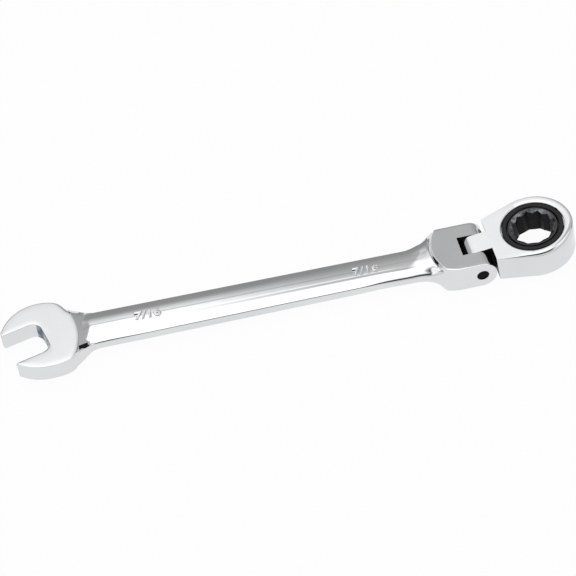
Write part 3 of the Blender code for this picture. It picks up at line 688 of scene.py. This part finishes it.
def section_ring(station, step):
    """The points round the handle at a station. Step is its share of the way up to the fork's block."""
    block_half = FORK_THICKNESS / 2 * math.sqrt(1.0 - share_of(station, 0.0, EAR_REACH) ** 2)
    block_share = 2.0 * block_half / FORK_THICKNESS
    halves = []
    for side, edge in ((1, BACK_BAND_EDGE), (0, band_edge(station))):
        half = side_reach(station, side)
        section = handle_section(bowed(station, half if side else -half))[side]
        band = mix(section[1], block_half - FORK_EDGE_DROP * block_share, step)
        reach = mix(edge, FORK_EDGE_ROUND * block_share, step)
        first = half - mix(BAND_EDGE_ROOM * edge, FORK_EDGE, step)
        halves.append((half, band, reach, first, min(section[2], first)))
    (back, back_band, back_reach, back_first, back_in) = halves[0]
    (front, front_band, front_reach, front_first, front_in) = halves[1]

    sides = [back_first] + [mix(back_first, back_in, share) for share in BEVEL_SHARES]
    sides += spread(back_in, 0.0, CROWN_STEPS) + spread(0.0, -front_in, CROWN_STEPS) + [-front_in]
    sides += [mix(-front_first, -front_in, share) for share in reversed(BEVEL_SHARES)] + [-front_first]
    path = [(back, 0.0), (back, back_band)]
    for y in sides:
        x = bowed(station, y)
        section = handle_section(x)
        height = coved(section, x, y, soft_height(section, y) + ramp_rise(section, x, y))
        path.append((y, mix(height, block_half, step)))
    path += [(-front, front_band), (-front, 0.0)]
    top = softened(path, [None, back_reach] + [None] * len(sides) + [front_reach, None])
    ring = top + [(y, -z) for y, z in reversed(top[1:-1])]
    return [(bowed(station, y), y, z) for y, z in ring]


def handle_stations():
    """Stations along the handle, each with its share of the way up to the fork's block."""
    rise_start = FORK_ROOT_RISE[0][0] - FORK_ROOT
    rise_end = FORK_ROOT_RISE[-1][0] - FORK_ROOT
    shank = [-OPEN_END] + spread(NECK_END - NECK_LENGTH, COVE_PLACE, NECK_STEPS)
    shank += spread(COVE_PLACE, NECK_END, NECK_STEPS) + spread(NECK_END, FORK_BOW_START, SHANK_STEPS)
    shank += spread(FORK_BOW_START, rise_start, FLARE_STEPS)
    fork = spread(rise_end, -SLOT_FLOOR, FORK_STEPS)[1:] + spread(-SLOT_FLOOR, 0.0, EAR_ROOT_STEPS)
    angles = spread(0.0, math.pi / 2, EAR_STEPS) + [math.pi / 2 * (1.0 - EAR_LAST_STEP / EAR_STEPS)]
    fork += [EAR_REACH * math.sin(angle) for angle in angles]
    rise = [(offset - FORK_ROOT, share) for offset, share in FORK_ROOT_RISE]
    return [(x, 0.0) for x in shank] + rise + [(x, 1.0) for x in fork]


def in_slot(centre, normal):
    """Whether a face of the handle is in the fork's slot, or on the back ear's end beside it; these faces
    get painted shade.
    """
    between_ears = abs(centre.y) < SLOT_WIDTH / 2 + SLOT_NEAR and centre.x > -SLOT_FLOOR - SLOT_NEAR
    beside = centre.x > 0.0 and 0.0 < centre.y < SLOT_WIDTH - EAR_CLEAR
    return (between_ears and abs(normal.z) < SLOT_WALL) or (beside and normal.x > EAR_END_FACES)


def in_crevice(centre, normal):
    """Whether a face of the handle is in the narrow front corner of the cove, which gets painted shade."""
    place = Vector((centre.x + OPEN_END, centre.y))
    corners = [Vector(corner) for corner in CREVICE]
    sides = zip(corners, corners[1:] + corners[:1])
    return normal.z > CREVICE_UP and all((end - start).cross(place - start) > 0.0 for start, end in sides)


def in_throat(centre, normal):
    """Whether a face of the handle is in the curved back of the jaw, which is left rough."""
    ahead = -(centre.x + OPEN_END) * math.cos(JAW_ANGLE) - centre.y * math.sin(JAW_ANGLE)
    near = Vector((centre.x + OPEN_END, centre.y)).length < JAW_GAP / 2
    return near and ahead < -THROAT_ROUGH and abs(normal.z) < THROAT_WALL


def make_handle(chrome, rough, shade_paint):
    forging = loft("wrench_handle", [section_ring(x, step) for x, step in handle_stations()])
    side = jaw_side(JAW_GAP / 2 + OPEN_END_EDGE, -THROAT_BEHIND_CENTRE - OPEN_END_EDGE)
    side.append((JAW_TIP_REACH + PAST, JAW_GAP))
    space = side + [(ahead, -across) for ahead, across in reversed(side)]
    tall = FORK_THICKNESS
    throat = prism("throat", jaw_points(space), -tall, tall)
    far = FORK_WIDTH
    slot = block("slot", (-SLOT_FLOOR, -SLOT_WIDTH / 2, -far), (far, SLOT_WIDTH / 2, far))
    hole = prism("hole", circle(PIN_HOLE_RADIUS), -far, far)
    hole.data.transform(ALONG_Y)
    low_edge = (OPEN_END_LOW_EDGE, OPEN_END_LOW_EDGE)
    open_end = plate(
        "open_end", open_end_outline(), OPEN_END_THICKNESS, open_end_edge, FACE_ROLL, low_edge
    )
    cuts = [(throat, "DIFFERENCE"), (slot, "DIFFERENCE"), (hole, "DIFFERENCE")]
    handle = joined(forging, cuts + [(open_end, "UNION")])
    # Painted shade on the slot, the back ear's end and the cove's front corner; rough steel in the throat.
    others = [(rough, in_throat), (shade_paint, in_slot), (shade_paint, in_crevice)]
    placed(handle, HANDLE_FRAME, "handle_body", chrome, others)
    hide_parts("handle")


def make_size_mark(index, centre, chrome):
    """The raised size mark, a generic number. Its top is flatter than the panel's crown."""
    curve = bpy.data.curves.new("mark", "FONT")
    curve.body = "7/16"
    curve.offset = MARK_BOLD
    curve.bevel_depth = MARK_BEAD
    curve.bevel_resolution = MARK_BEAD_STEPS
    curve.resolution_u = MARK_CURVE_STEPS
    drawn = bpy.data.objects.new("mark", curve)
    bpy.context.scene.collection.objects.link(drawn)
    seen = drawn.evaluated_get(bpy.context.evaluated_depsgraph_get())
    mesh = bpy.data.meshes.new_from_object(seen)
    bpy.data.objects.remove(drawn)
    shape = bmesh.new()
    shape.from_mesh(mesh)
    bmesh.ops.remove_doubles(shape, verts=shape.verts, dist=MARK_WELD)
    low = Vector([min(v.co[i] for v in shape.verts) for i in range(3)])
    high = Vector([max(v.co[i] for v in shape.verts) for i in range(3)])
    for vertex in shape.verts:
        x = centre + MARK_LENGTH * ((vertex.co.x - low.x) / (high.x - low.x) - 0.5)
        y = MARK_HEIGHT * ((vertex.co.y - low.y) / (high.y - low.y) - 0.5)
        section = handle_section(x)
        up = share_of(vertex.co.z, low.z, high.z)
        vertex.co = (x, y, mix(top_height(section, y) - MARK_RISE, section[2] + MARK_RISE, up))
    mark = mesh_from(shape, f"size_mark_{index}")
    placed(mark, HANDLE_FRAME, "handle_body", chrome)


def make_pin(black):
    half = FORK_WIDTH / 2 - PIN_RECESS
    profile = [(PIN_CENTRE, half), (PIN_RADIUS - PIN_CHAMFER, half), (PIN_RADIUS, half - PIN_CHAMFER)]
    profile += [(radius, -height) for radius, height in reversed(profile)]
    pin = turned("pivot_pin", profile, FINE_ROUND // 2)
    pin.data.transform(ALONG_Y)
    placed(pin, HANDLE_FRAME, "handle_body", black)
    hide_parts("flex_pin")


# Head


def head_outline():
    """The ring and its straight flanks about the socket's axis, anticlockwise."""
    half_shoulder = SHOULDER_WIDTH / 2
    back = PIN_TO_SOCKET - SHOULDER
    reach = math.hypot(back, half_shoulder)
    touch = math.atan2(half_shoulder, -back) - math.acos(HEAD_RING_RADIUS / reach)
    ring = arc((0.0, 0.0), HEAD_RING_RADIUS, -touch, touch, 2 * FINE_ROUND)
    corner = Vector((-back, half_shoulder))
    flank = [tuple(corner.lerp(Vector(ring[-1]), share)) for share in spread(0.0, 1.0, FLANK_STEPS)]
    shoulder = [(-back, y) for y in spread(half_shoulder, -half_shoulder, FLANK_STEPS)[1:]]
    return [(x, -y) for x, y in flank] + ring + list(reversed(flank)) + shoulder


def faces_fork(centre, normal):
    """Whether a face of the head is on the front half of the shoulder or on a side of the tang; these
    faces get painted shade.
    """
    on_shoulder = abs(centre.x - SHOULDER) < SHOULDER_NEAR and centre.y < 0.0
    on_tang = centre.x < SHOULDER and abs(normal.y) > TANG_SIDE
    return (on_shoulder and normal.x < -SHOULDER_FACES) or on_tang


def make_head(chrome, shade_paint):
    half = HEAD_THICKNESS / 2
    outline = head_outline()
    back = PIN_TO_SOCKET - SHOULDER

    def head_edge(place, outward):
        in_front = ease(outward.y, *HEAD_FRONT_TURN)
        at_ring = ease(place.x, -back, 0.0)
        inward = mix(FLANK_EDGE, mix(HEAD_BACK_EDGE, HEAD_EDGE, in_front), at_ring)
        return inward, mix(FLANK_EDGE, mix(HEAD_BACK_EDGE, HEAD_EDGE_DEPTH, in_front), at_ring)

    outward, down = SEAT_ROUND_MIDDLE
    bore = [
        (RING_SEAT_RADIUS + SEAT_ROUND, half),
        (RING_SEAT_RADIUS + outward * SEAT_ROUND, half - down * SEAT_ROUND),
        (RING_SEAT_RADIUS, half - SEAT_ROUND_DEPTH * SEAT_ROUND),
        (RING_SEAT_RADIUS, RING_SEAT_HEIGHT),
        (GEAR_BORE_RADIUS, RING_SEAT_HEIGHT),
        (GEAR_BORE_RADIUS, -RING_SEAT_HEIGHT),
        (LIP_RADIUS, -RING_SEAT_HEIGHT),
        (LIP_RADIUS, -half + SEAT_CHAMFER),
        (LIP_RADIUS + SEAT_CHAMFER, -half),
    ]
    low_edge = (HEAD_BACK_EDGE, HEAD_BACK_EDGE)
    columns = []
    for (x, y), wall in zip(outline, edge_walls(outline, half, head_edge, low_edge)):
        wall = [(a, b, z - math.copysign(HEAD_CROWN, z) * ease(a, -back, 0.0)) for a, b, z in wall]
        away = Vector((x, y)).normalized()
        columns.append(wall + [(away.x * r, away.y * r, z) for r, z in bore])
    head = loft("ratchet_ring", columns, closed=True)
    head.data.transform(Matrix.Translation((PIN_TO_SOCKET, 0.0, 0.0)))

    quarter = math.pi / 2
    inside = SHOULDER + TANG_OVERLAP
    knuckle = [(inside, -TANG_RADIUS)]
    knuckle += list(reversed(arc((0.0, 0.0), TANG_RADIUS, quarter, 3 * quarter)))
    knuckle += [(inside, TANG_RADIUS)]
    tang_edge = (FLANK_EDGE, FLANK_EDGE)
    tang = plate("tang", list(reversed(knuckle)), TANG_WIDTH, lambda corner, outward: tang_edge)
    tang.data.transform(ALONG_Y)
    hole = prism("hole", circle(PIN_HOLE_RADIUS), -half, half)
    hole.data.transform(ALONG_Y)
    low = (POCKET_BACK, -POCKET_HALF_WIDTH, -POCKET_HALF_HEIGHT)
    high = (PIN_TO_SOCKET - GEAR_ROOT_RADIUS, POCKET_HALF_WIDTH, POCKET_HALF_HEIGHT)
    pocket = block("pocket", low, high)
    well = prism("well", circle(SPRING_HOLE_RADIUS), POCKET_BACK - SPRING_HOLE_DEPTH, POCKET_BACK + PAST)
    well.data.transform(ALONG_X)
    tools = [(tang, "UNION"), (hole, "DIFFERENCE"), (pocket, "DIFFERENCE"), (well, "DIFFERENCE")]
    head = joined(head, tools)
    # The shoulder and the tang's sides get painted shade.
    placed(head, HEAD_FRAME, "head_body", chrome, [(shade_paint, faces_fork)])
    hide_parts("ratchet_head")


def socket_radius(angle):
    """The twelve-point socket's radius: two hexagons a twelfth of a turn apart."""
    turn = math.tau / SOCKET_POINTS
    away = (angle + turn / 2) % turn - turn / 2
    return SOCKET_FLATS / 2 / math.cos(turn - abs(away))


def tooth_radius(step):
    """The gear's outline, in steps of a fraction of a tooth. Tooth 0 points along -X."""
    share = abs((step % GEAR_STEPS) / GEAR_STEPS - 0.5) * 2.0
    return mix(GEAR_ROOT_RADIUS, GEAR_TIP_RADIUS, share_of(share, TOOTH_ROOT_SHARE, TOOTH_TIP_SHARE))


# Faces of the socket's walls, which get painted shade.
def in_socket(centre, normal):
    return Vector((centre.x, centre.y)).length < SOCKET_MOUTH_RADIUS and abs(normal.z) < SOCKET_WALL


def in_lead_in(centre, normal):
    sloped = SOCKET_WALL < normal.z < LEAD_IN_TOP
    return Vector((centre.x, centre.y)).length < SOCKET_MOUTH_RADIUS and sloped


def make_gear(black, shade_paint, worn):
    band = GEAR_BAND_HEIGHT / 2
    half = GEAR_HALF_HEIGHT
    cone = SOCKET_CHAMFER_DEPTH / (SOCKET_MOUTH_RADIUS - SOCKET_BORE_RADIUS)
    steps = GEAR_TEETH * GEAR_STEPS
    columns = []
    for step in range(steps):
        angle = math.pi + math.tau * step / steps
        wall = socket_radius(angle)
        wall_top = half - cone * (SOCKET_MOUTH_RADIUS - wall)
        tooth = tooth_radius(step)
        top = [
            (wall, 0.0),
            (wall, wall_top),
            (SOCKET_MOUTH_RADIUS, half),
            (GEAR_HUB_RADIUS - HUB_EDGE, half),
            (GEAR_HUB_RADIUS, half - HUB_EDGE),
            (GEAR_HUB_RADIUS, band),
            (tooth, band),
        ]
        profile = top + [(radius, -height) for radius, height in reversed(top[1:])]
        columns.append([(r * math.cos(angle), r * math.sin(angle), z) for r, z in profile])
    gear = loft("socket_gear", columns, closed=True)
    # The socket's walls get painted shade; the lead-in gets worn oxide.
    others = [(shade_paint, in_socket), (worn, in_lead_in)]
    placed(gear, SOCKET_FRAME, "gear_body", black, others)
    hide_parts("drive_gear")


def make_ring(black):
    inner = LIP_RADIUS
    chamfer = SEAT_CHAMFER
    profile = [
        (inner, RING_BOTTOM),
        (inner, RING_TOP - chamfer),
        (inner + chamfer, RING_TOP),
        (RING_OUTER_RADIUS - chamfer, RING_TOP),
        (RING_OUTER_RADIUS, RING_TOP - chamfer),
        (RING_OUTER_RADIUS, RING_BOTTOM),
    ]
    ring = turned("gear_ring", profile)
    placed(ring, SOCKET_FRAME, "head_body", black)
    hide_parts("retaining_ring")


# Materials


def new_material(name):
    material = bpy.data.materials.new(name)
    material.use_nodes = True
    tree = material.node_tree
    return material, tree, tree.nodes["Principled BSDF"]


def noise(tree, scale, stretch=(1.0, 1.0, 1.0), detail=4.0):
    """Noise in object space. A stretch under 1 draws it out along that axis."""
    place = tree.nodes.new("ShaderNodeTexCoord")
    mapping = tree.nodes.new("ShaderNodeMapping")
    mapping.inputs["Scale"].default_value = stretch
    texture = tree.nodes.new("ShaderNodeTexNoise")
    texture.inputs["Scale"].default_value = scale
    texture.inputs["Detail"].default_value = detail
    tree.links.new(place.outputs["Object"], mapping.inputs["Vector"])
    tree.links.new(mapping.outputs["Vector"], texture.inputs["Vector"])
    return texture.outputs["Fac"]


def ramp(tree, value, stops):
    """A colour ramp through (place, colour) stops."""
    node = tree.nodes.new("ShaderNodeValToRGB")
    elements = node.color_ramp.elements
    for i, (place, colour) in enumerate(stops):
        element = elements[i] if i < 2 else elements.new(place)
        element.position = place
        element.color = (*colour, 1.0) if isinstance(colour, tuple) else (colour, colour, colour, 1.0)
    tree.links.new(value, node.inputs["Fac"])
    return node.outputs["Color"]


def bump(tree, heights, shader):
    """Bumps laid over each other, each as (height, depth in metres)."""
    normal = None
    for height, depth in heights:
        node = tree.nodes.new("ShaderNodeBump")
        node.inputs["Strength"].default_value = 1.0
        node.inputs["Distance"].default_value = depth
        tree.links.new(height, node.inputs["Height"])
        if normal is not None:
            tree.links.new(normal, node.inputs["Normal"])
        normal = node.outputs["Normal"]
    tree.links.new(normal, shader.inputs["Normal"])


def coat(tree, shader, colour, rough):
    tree.links.new(colour, shader.inputs["Base Color"])
    tree.links.new(rough, shader.inputs["Roughness"])


def chrome_material():
    """Polished chrome plate: nearly a mirror, with faint haze, polishing lines and forging waves."""
    material, tree, shader = new_material("polished_chrome")
    shader.inputs["Metallic"].default_value = 1.0
    haze = noise(tree, 60.0)
    lines = noise(tree, 900.0, (0.04, 1.0, 1.0))
    waves = noise(tree, 130.0, detail=1.0)
    colour = ramp(tree, haze, [(0.3, (0.680, 0.690, 0.700)), (0.7, (0.730, 0.735, 0.740))])
    rough = ramp(tree, lines, [(0.3, 0.05), (0.7, 0.09)])
    coat(tree, shader, colour, rough)
    bump(tree, [(waves, 0.00002), (lines, 0.0000004)], shader)
    return material


def black_oxide_material(name, gloss):
    """Black oxide on steel: satin and slightly mottled."""
    material, tree, shader = new_material(name)
    shader.inputs["Metallic"].default_value = 0.0
    shader.inputs["Specular IOR Level"].default_value = gloss
    mottle = noise(tree, 700.0)
    grain = noise(tree, 9000.0)
    colour = ramp(tree, mottle, [(0.3, (0.006, 0.006, 0.007)), (0.75, (0.013, 0.013, 0.014))])
    rough = ramp(tree, mottle, [(0.3, 0.30), (0.7, 0.42)])
    coat(tree, shader, colour, rough)
    bump(tree, [(grain, 0.000004)], shader)
    return material


def worn_oxide_material():
    """The socket's lead-in, where bolt heads have rubbed the oxide to a dark bluish sheen."""
    material, tree, shader = new_material("worn_oxide")
    shader.inputs["Metallic"].default_value = 1.0
    rubs = noise(tree, 900.0)
    colour = ramp(tree, rubs, [(0.35, (0.06, 0.06, 0.07)), (0.65, (0.27, 0.28, 0.31))])
    rough = ramp(tree, rubs, [(0.3, 0.22), (0.7, 0.38)])
    coat(tree, shader, colour, rough)
    bump(tree, [(rubs, 0.000004)], shader)
    return material


def throat_material():
    """The back of the jaw, left as broached: dark bluish steel with brighter patches."""
    material, tree, shader = new_material("broached_steel")
    shader.inputs["Metallic"].default_value = 1.0
    patches = noise(tree, 420.0, detail=2.0)
    marks = noise(tree, 2500.0, (1.0, 1.0, 0.1))
    colour = ramp(tree, patches, [(0.35, (0.05, 0.06, 0.09)), (0.6, (0.34, 0.38, 0.47))])
    rough = ramp(tree, marks, [(0.3, 0.25), (0.7, 0.45)])
    coat(tree, shader, colour, rough)
    bump(tree, [(marks, 0.00001)], shader)
    return material


def painted_shade_material():
    """Painted shade for faces in the fork's slot, on the head's shoulder and tang, in the socket and in
    the cove's corner: near black and dull, with streaks of noise in its colour and roughness.
    """
    material, tree, shader = new_material("painted_shade_dark")
    shader.inputs["Specular IOR Level"].default_value = 0.10
    streaks = noise(tree, 1500.0, (1.0, 1.0, 0.15))
    # Near-black colour: painted shade where the chrome would fall dark in shade.
    colour = ramp(tree, streaks, [(0.45, (0.004, 0.004, 0.005)), (0.8, (0.022, 0.022, 0.023))])
    rough = ramp(tree, streaks, [(0.3, 0.35), (0.7, 0.55)])
    coat(tree, shader, colour, rough)
    bump(tree, [(streaks, 0.000004)], shader)
    return material


def spring_steel_material():
    """Drawn steel wire and ground steel, with fine draw marks."""
    material, tree, shader = new_material("spring_steel")
    shader.inputs["Metallic"].default_value = 1.0
    marks = noise(tree, 4000.0, (0.2, 1.0, 1.0))
    colour = ramp(tree, marks, [(0.3, (0.30, 0.30, 0.31)), (0.7, (0.42, 0.42, 0.43))])
    rough = ramp(tree, marks, [(0.3, 0.22), (0.7, 0.38)])
    coat(tree, shader, colour, rough)
    bump(tree, [(marks, 0.000002)], shader)
    return material


def dress_cad_node(name, material):
    node = frame["nodes"][name]
    node.data.materials.clear()
    node.data.materials.append(material)


# Stage


def background_share(tree, share):
    """A share for rays from the camera, from glossy surfaces and through glass, and 0 for others."""
    path = tree.nodes.new("ShaderNodeLightPath")
    total = tree.nodes.new("ShaderNodeMath")
    total.operation = "MAXIMUM"
    both = tree.nodes.new("ShaderNodeMath")
    both.operation = "MAXIMUM"
    scaled = tree.nodes.new("ShaderNodeMath")
    scaled.operation = "MULTIPLY"
    scaled.inputs[1].default_value = share
    tree.links.new(path.outputs["Is Camera Ray"], total.inputs[0])
    tree.links.new(path.outputs["Is Glossy Ray"], total.inputs[1])
    tree.links.new(total.outputs[0], both.inputs[0])
    tree.links.new(path.outputs["Is Transmission Ray"], both.inputs[1])
    tree.links.new(both.outputs[0], scaled.inputs[0])
    return scaled.outputs[0]


def make_floor():
    """A plain white floor that keeps a faint shadow."""
    low = (-FLOOR_REACH, -FLOOR_REACH, -FLOOR_DEPTH)
    floor = block("floor", low, (FLOOR_REACH, FLOOR_REACH, -FLOOR_GAP))
    material, tree, shader = new_material("white_floor")
    shader.inputs["Base Color"].default_value = FLOOR_COLOUR
    shader.inputs["Roughness"].default_value = 0.9
    shader.inputs["Specular IOR Level"].default_value = 0.0
    glow = tree.nodes.new("ShaderNodeEmission")
    blend = tree.nodes.new("ShaderNodeMixShader")
    output = tree.nodes["Material Output"]
    tree.links.new(background_share(tree, FLOOR_GLOW), blend.inputs["Fac"])
    tree.links.new(shader.outputs["BSDF"], blend.inputs[1])
    tree.links.new(glow.outputs["Emission"], blend.inputs[2])
    tree.links.new(blend.outputs["Shader"], output.inputs["Surface"])
    floor.data.materials.append(material)
    bpy.context.scene.collection.objects.link(floor)


def make_studio():
    """A white tent: a bright box behind, dimmer beside it, dark low on the left and at the camera."""
    world = bpy.data.worlds.new("studio")
    bpy.context.scene.world = world
    world.use_nodes = True
    tree = world.node_tree
    place = tree.nodes.new("ShaderNodeTexCoord")
    split = tree.nodes.new("ShaderNodeSeparateXYZ")
    tree.links.new(place.outputs["Generated"], split.inputs["Vector"])

    def ranged(value, start, end):
        node = tree.nodes.new("ShaderNodeMapRange")
        node.interpolation_type = "SMOOTHSTEP"
        node.inputs["From Min"].default_value = start
        node.inputs["From Max"].default_value = end
        tree.links.new(value, node.inputs["Value"])
        return node.outputs["Result"]

    def blended(share, first, second):
        node = tree.nodes.new("ShaderNodeMix")
        node.data_type = "RGBA"
        sockets = [s for s in node.inputs if s.type == "RGBA"]
        tree.links.new(share, node.inputs["Factor"])
        for socket, value in zip(sockets, (first, second)):
            if isinstance(value, tuple):
                socket.default_value = value
            else:
                tree.links.new(value, socket)
        return next(s for s in node.outputs if s.type == "RGBA")

    def both(first, second):
        node = tree.nodes.new("ShaderNodeMath")
        node.operation = "MULTIPLY"
        tree.links.new(first, node.inputs[0])
        tree.links.new(second, node.inputs[1])
        return node.outputs[0]

    height = split.outputs["Z"]
    side = split.outputs["X"]
    lit = [(0.0, 0.19), (0.24, 0.25), (0.44, 0.45), (0.6, 0.61), (0.74, 0.70), (0.87, 0.94), (1.0, 1.0)]
    dim = [(0.0, 0.19), (0.24, 0.26), (0.5, 0.31), (0.74, 0.37), (0.9, 0.40), (0.97, 0.46), (1.0, 0.6)]
    front = [(0.0, 0.5), (0.4, 0.5), (0.6, 0.7), (1.0, 1.0)]
    dark = [(0.0, 0.5), (0.4, 0.5), (0.55, 0.12), (0.62, 0.03)]
    dark += [(0.82, 0.03), (0.9, 0.35), (0.95, 0.9), (1.0, 1.0)]
    box = both(ranged(side, *BOX_LEFT), ranged(side, *BOX_RIGHT))
    behind = blended(box, ramp(tree, height, dim), ramp(tree, height, lit))
    low_left = both(ranged(side, *LOW_LEFT_SIDE), ranged(height, *LOW_LEFT_HEIGHT))
    behind = blended(low_left, behind, LOW_LEFT_COLOUR)
    at_camera = both(ranged(side, *DARK_LEFT), ranged(side, *DARK_RIGHT))
    ahead = blended(at_camera, ramp(tree, height, front), ramp(tree, height, dark))
    room = blended(ranged(split.outputs["Y"], *AHEAD), behind, ahead)
    background = tree.nodes["Background"]
    background.inputs["Strength"].default_value = STUDIO_STRENGTH
    tree.links.new(room, background.inputs["Color"])


def make_camera():
    azimuth = math.radians(CAMERA_AZIMUTH)
    elevation = math.radians(CAMERA_ELEVATION)
    roll = math.radians(CAMERA_ROLL)
    level = Vector((math.cos(azimuth), math.sin(azimuth), 0.0))
    back = Vector((math.sin(azimuth), -math.cos(azimuth), 0.0)) * math.cos(elevation)
    back.z = math.sin(elevation)
    upright = back.cross(level)
    right = level * math.cos(roll) + upright * math.sin(roll)
    up = upright * math.cos(roll) - level * math.sin(roll)
    data = bpy.data.cameras.new("photo_camera")
    data.sensor_width = SENSOR_WIDTH
    data.lens = CAMERA_FOCUS_PIXELS / PHOTO_PIXELS * SENSOR_WIDTH
    data.clip_start = CAMERA_NEAR * MM
    camera = bpy.data.objects.new("photo_camera", data)
    bpy.context.scene.collection.objects.link(camera)
    turn = Matrix((right, up, back)).transposed().to_4x4()
    camera.matrix_world = Matrix.Translation(pin_place + Vector(CAMERA_PLACE) * MM) @ turn
    bpy.context.scene.camera = camera


make_camera()
chrome = chrome_material()
black = black_oxide_material("black_oxide", RING_GLOSS)
glossy_black = black_oxide_material("black_oxide_gear", GEAR_GLOSS)
# The black oxide again with almost no reflection: painted shade for the pin in its hole.
pin_shade_black = black_oxide_material("black_oxide_pin_painted_shade", PIN_GLOSS)
rough = throat_material()
# Painted shade, put on faces in the slot, the socket and corners by their place.
shade_paint = painted_shade_material()
steel = spring_steel_material()
make_handle(chrome, rough, shade_paint)
for index, centre in enumerate(MARK_CENTRES):
    make_size_mark(index, centre, chrome)
make_pin(pin_shade_black)
make_head(chrome, shade_paint)
make_gear(glossy_black, shade_paint, worn_oxide_material())
make_ring(black)
for hidden in ("flex_plunger", "plunger_spring", "pawl_spring"):
    dress_cad_node(hidden, steel)
dress_cad_node("pawl", black)
make_floor()
make_studio()
bpy.context.scene.view_settings.view_transform = "Standard"
